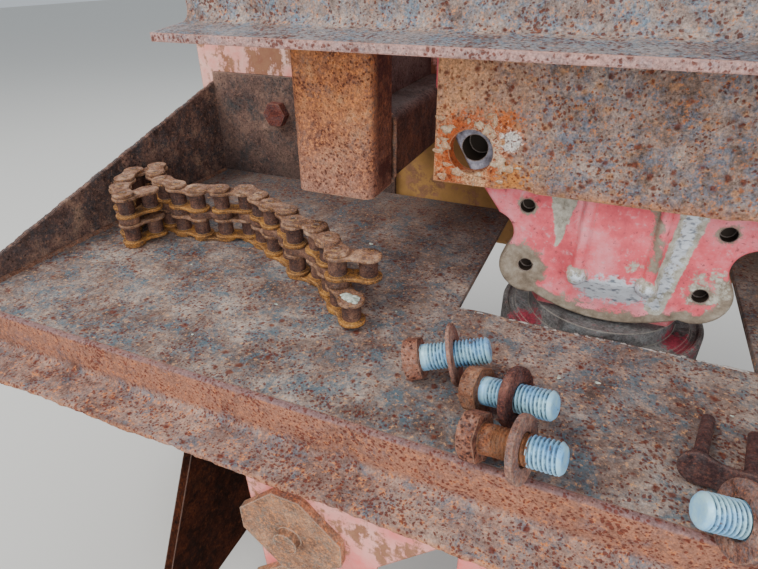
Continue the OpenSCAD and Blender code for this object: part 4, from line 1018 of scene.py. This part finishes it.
FLAKES, BEADS = 46, 44
spread = np.random.default_rng(4)
around_hole = spread.uniform(0, 2 * np.pi, FLAKES)
out = 18.5 + spread.gamma(2.0, 5.0, FLAKES)
flake_x = -HOLE_X + out * np.cos(around_hole)
flake_z = HOLE_Z + out * np.sin(around_hole) * 0.8
kept = (flake_x > -137) & (flake_z > 116) & (flake_z < 190)
flake_size = np.stack([spread.uniform(1.2, 4.2, FLAKES), spread.uniform(0.35, 0.9, FLAKES),
                       spread.uniform(1.0, 3.6, FLAKES)], 1)
flake_at = np.stack([flake_x, np.full(FLAKES, PLATE_FRONT - 0.2), flake_z], axis=1)
flakes = lumps("plate_scale_flakes", flake_at[kept], flake_size[kept], "Y", 1.0)
flake_rust = rusted_steel(
    "curled_rust_flakes", ("a3562c", "c07a48", "d6ab83", "ecd9bf"), film="d9c4a8", bloom="b5622f",
    pit="7a3a1f", patch=10, pit_size=2.0, pit_share=0.3, relief=0.4, edge="ecd5b5")
flakes.data.materials.append(flake_rust)
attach(flakes, "frame")
slag_at = np.stack([spread.uniform(-109, 109, BEADS), spread.uniform(-275.4, -273.2, BEADS),
                    np.full(BEADS, -0.1)], 1)
slag_size = np.stack([spread.gamma(2.0, 0.8, BEADS) + 0.5, spread.uniform(0.5, 1.1, BEADS),
                      spread.uniform(0.4, 0.9, BEADS)], 1)
slag = lumps("torch_slag_beads", slag_at, slag_size, "Z", 5.0)
slag_iron = rusted_steel(
    "torch_slag", ("5e4b43", "8b7b72", "b8aea7", "dcd7d1"), film="b9bcbf", bloom="a8795a", pit="4a2c22",
    patch=8, pit_size=2.0, pit_share=0.3, relief=0.3, edge="d8cfc6")
slag.data.materials.append(slag_iron)
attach(slag, "frame")
# Each crumb is its place and its half widths; the last two are the crust on the end link.
end_x, end_y = joints[-2] + swung(np.array([PITCH, 0, 0]), LAST_TURN)[:2]
crumb_rows = np.array([
    (-233, -190, 0.5, 2.4, 1.5, 0.7), (-262, -330, 0.4, 1.8, 1.1, 0.5), (-20, -335, 0.5, 1.4, 1.9, 0.7),
    (6, -330, 0.45, 1.9, 0.9, 0.6), (-300, -395, 0.3, 0.9, 0.8, 0.5), (60, -390, 0.4, 1.0, 1.2, 0.5),
    (-160, -300, 0.4, 0.8, 1.0, 0.5), (90, -330, 0.3, 1.1, 0.8, 0.4), (-380, -300, 0.4, 0.9, 1.1, 0.5),
    (150, -320, 0.4, 1.2, 0.8, 0.5), (end_x - 1.5, end_y + 0.5, 26.2, 8.5, 5.0, 1.7),
    (end_x + 3.5, end_y - 3.0, 26.1, 5.0, 4.2, 1.4)])
crumbs = lumps("lime_crust_and_grit", crumb_rows[:, :3], crumb_rows[:, 3:], "Z", 3.0)
lime, tree, place = blank("pale_lime_crust")
mottle = add(tree, "TexNoise", {"Vector": place, "Scale": 1000 / 4, "Detail": 7.0, "Roughness": 0.7})
tint = add(tree, "ValToRGB", {0: mottle}, stops=((0.36, "7f897c"), (0.48, "b3bcae"), (0.62, "dfe4d8")))
rough_skin = add(tree, "Bump", {"Strength": 0.8, "Distance": 0.5 * MM, "Height": mottle})
crust = add(tree, "BsdfPrincipled", {"Base Color": tint, "Roughness": 0.9, "Normal": rough_skin})
add(tree, "OutputMaterial", {"Surface": crust})
crumbs.data.materials.append(lime)
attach(crumbs, "frame")


# Weld beads: hand-laid fillet welds where plates and tubes meet, rippled by each stroke of
# the rod and rusted with the steel round them.
def weld_bead(start, end, outward, radius):
    """Points and faces of a fillet bead from start to end in mm: a half-round bar facing
    outward, its size rippled every 3 mm and wandering a little along its run."""
    start, end, outward = (np.asarray(v, float) for v in (start, end, outward))
    length = np.linalg.norm(end - start)
    along = (end - start) / length
    outward = outward / np.linalg.norm(outward)
    across = np.cross(along, outward)
    rows = np.linspace(0, length, round(length))
    swell = radius * (1 + 0.1 * np.abs(np.sin(rows * np.pi / 3)) + 0.16 * waves(rows, 31, 1.1))
    swell = swell * np.clip(np.minimum(rows, length - rows) / radius, 0.1, 1)
    turn = full_turn(10)
    lean = 0.25 * waves(rows, 19, 2.2)
    ring = (swell[:, None, None] * (0.75 * np.cos(turn)[:, None] * outward + np.sin(turn)[:, None] * across))
    middle = start + rows[:, None] * along + lean[:, None] * across
    return (middle[:, None, :] + ring).reshape(-1, 3), grid_faces(len(rows), 10, wrap=True)


def limits(name):
    """Lowest and highest corner of a CAD node, in mm to a thousandth."""
    return np.round(np.array(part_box(name)) / MM, 3)


(_, shelf_front, _), (shelf_side, shelf_rear, shelf_top) = limits("shelf_floor")
(rail_in, rail_front, rail_low), (rail_out, _, rail_top) = limits("rail_right")
web_out, web_rear, _ = limits("rail_web_right")[1]
side_out, _, side_top = limits("side_plate_right")[1]
(_, member_front, _), (member_side, member_rear, member_top) = limits("cross_member")
(_, wall_front, wall_low), _ = limits("back_wall_right")
# Runs on the right side, mirrored for the left: each starts and ends a little inside what it
# joins, with the way that it faces and its radius. First the end plate along the shelf, then
# the rail round the post, the web, the cross member, the back wall and the side plate.
shelf_run = ((shelf_side - 1.5, shelf_front + 2, shelf_top), (shelf_side - 1.5, shelf_rear - 2, shelf_top),
             (-1, 0, 1), 3.2)
frame_runs = [
    ((rail_in, rail_front - 3, rail_top), (rail_out, rail_front - 3, rail_top), (0, 1, 1), 2.4),
    ((rail_in - 0.3, rail_front, rail_low + 3), (rail_in - 0.3, rail_front, rail_top - 3), (-1, 1, 0), 2.4),
    ((rail_out + 0.3, rail_front, rail_low + 3), (rail_out + 0.3, rail_front, rail_top - 3), (1, 1, 0), 2.4),
    ((rail_in, rail_front, rail_low), (rail_out, rail_front, rail_low), (0, 1, -1), 2.4),
    ((web_out, rail_front + 1, rail_top + 0.5), (web_out, web_rear - 2, rail_top + 0.5), (1, 0, 1), 2.2),
    ((rail_in - 0.3, member_front + 1, member_top + 0.5), (rail_in - 0.3, member_rear - 2, member_top + 0.5),
     (-1, 0, 0), 2.2),
    ((member_side - 1.5, wall_front - 0.5, wall_low + 1),
     (member_side - 1.5, wall_front - 0.5, member_top - 3), (1, -1, 0), 2.2),
    ((side_out + 0.5, -380, side_top - 1), (side_out + 0.5, -60, side_top - 1), (1, 0, -1), 2.6)]
beads = []
for runs in ([shelf_run], frame_runs):
    for mirror in ((-1, 1, 1), (1, 1, 1)):
        beads += [weld_bead(*np.multiply([start, end, outward], mirror), radius)
                  for start, end, outward, radius in runs]
points, faces = gather(beads)
beads = mesh_from("fillet_weld_beads", points * MM, faces)
bead_steel = rusted_steel(
    "rusted_weld_bead", ("4a2f26", "6b4738", "88604c", "a57c62"), film="6b625e", bloom="99623f", pit="2f1a15",
    patch=16, pit_size=2.0, pit_share=0.4, relief=0.4, edge="ad8466")
beads.data.materials.append(bead_steel)
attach(beads, "frame")
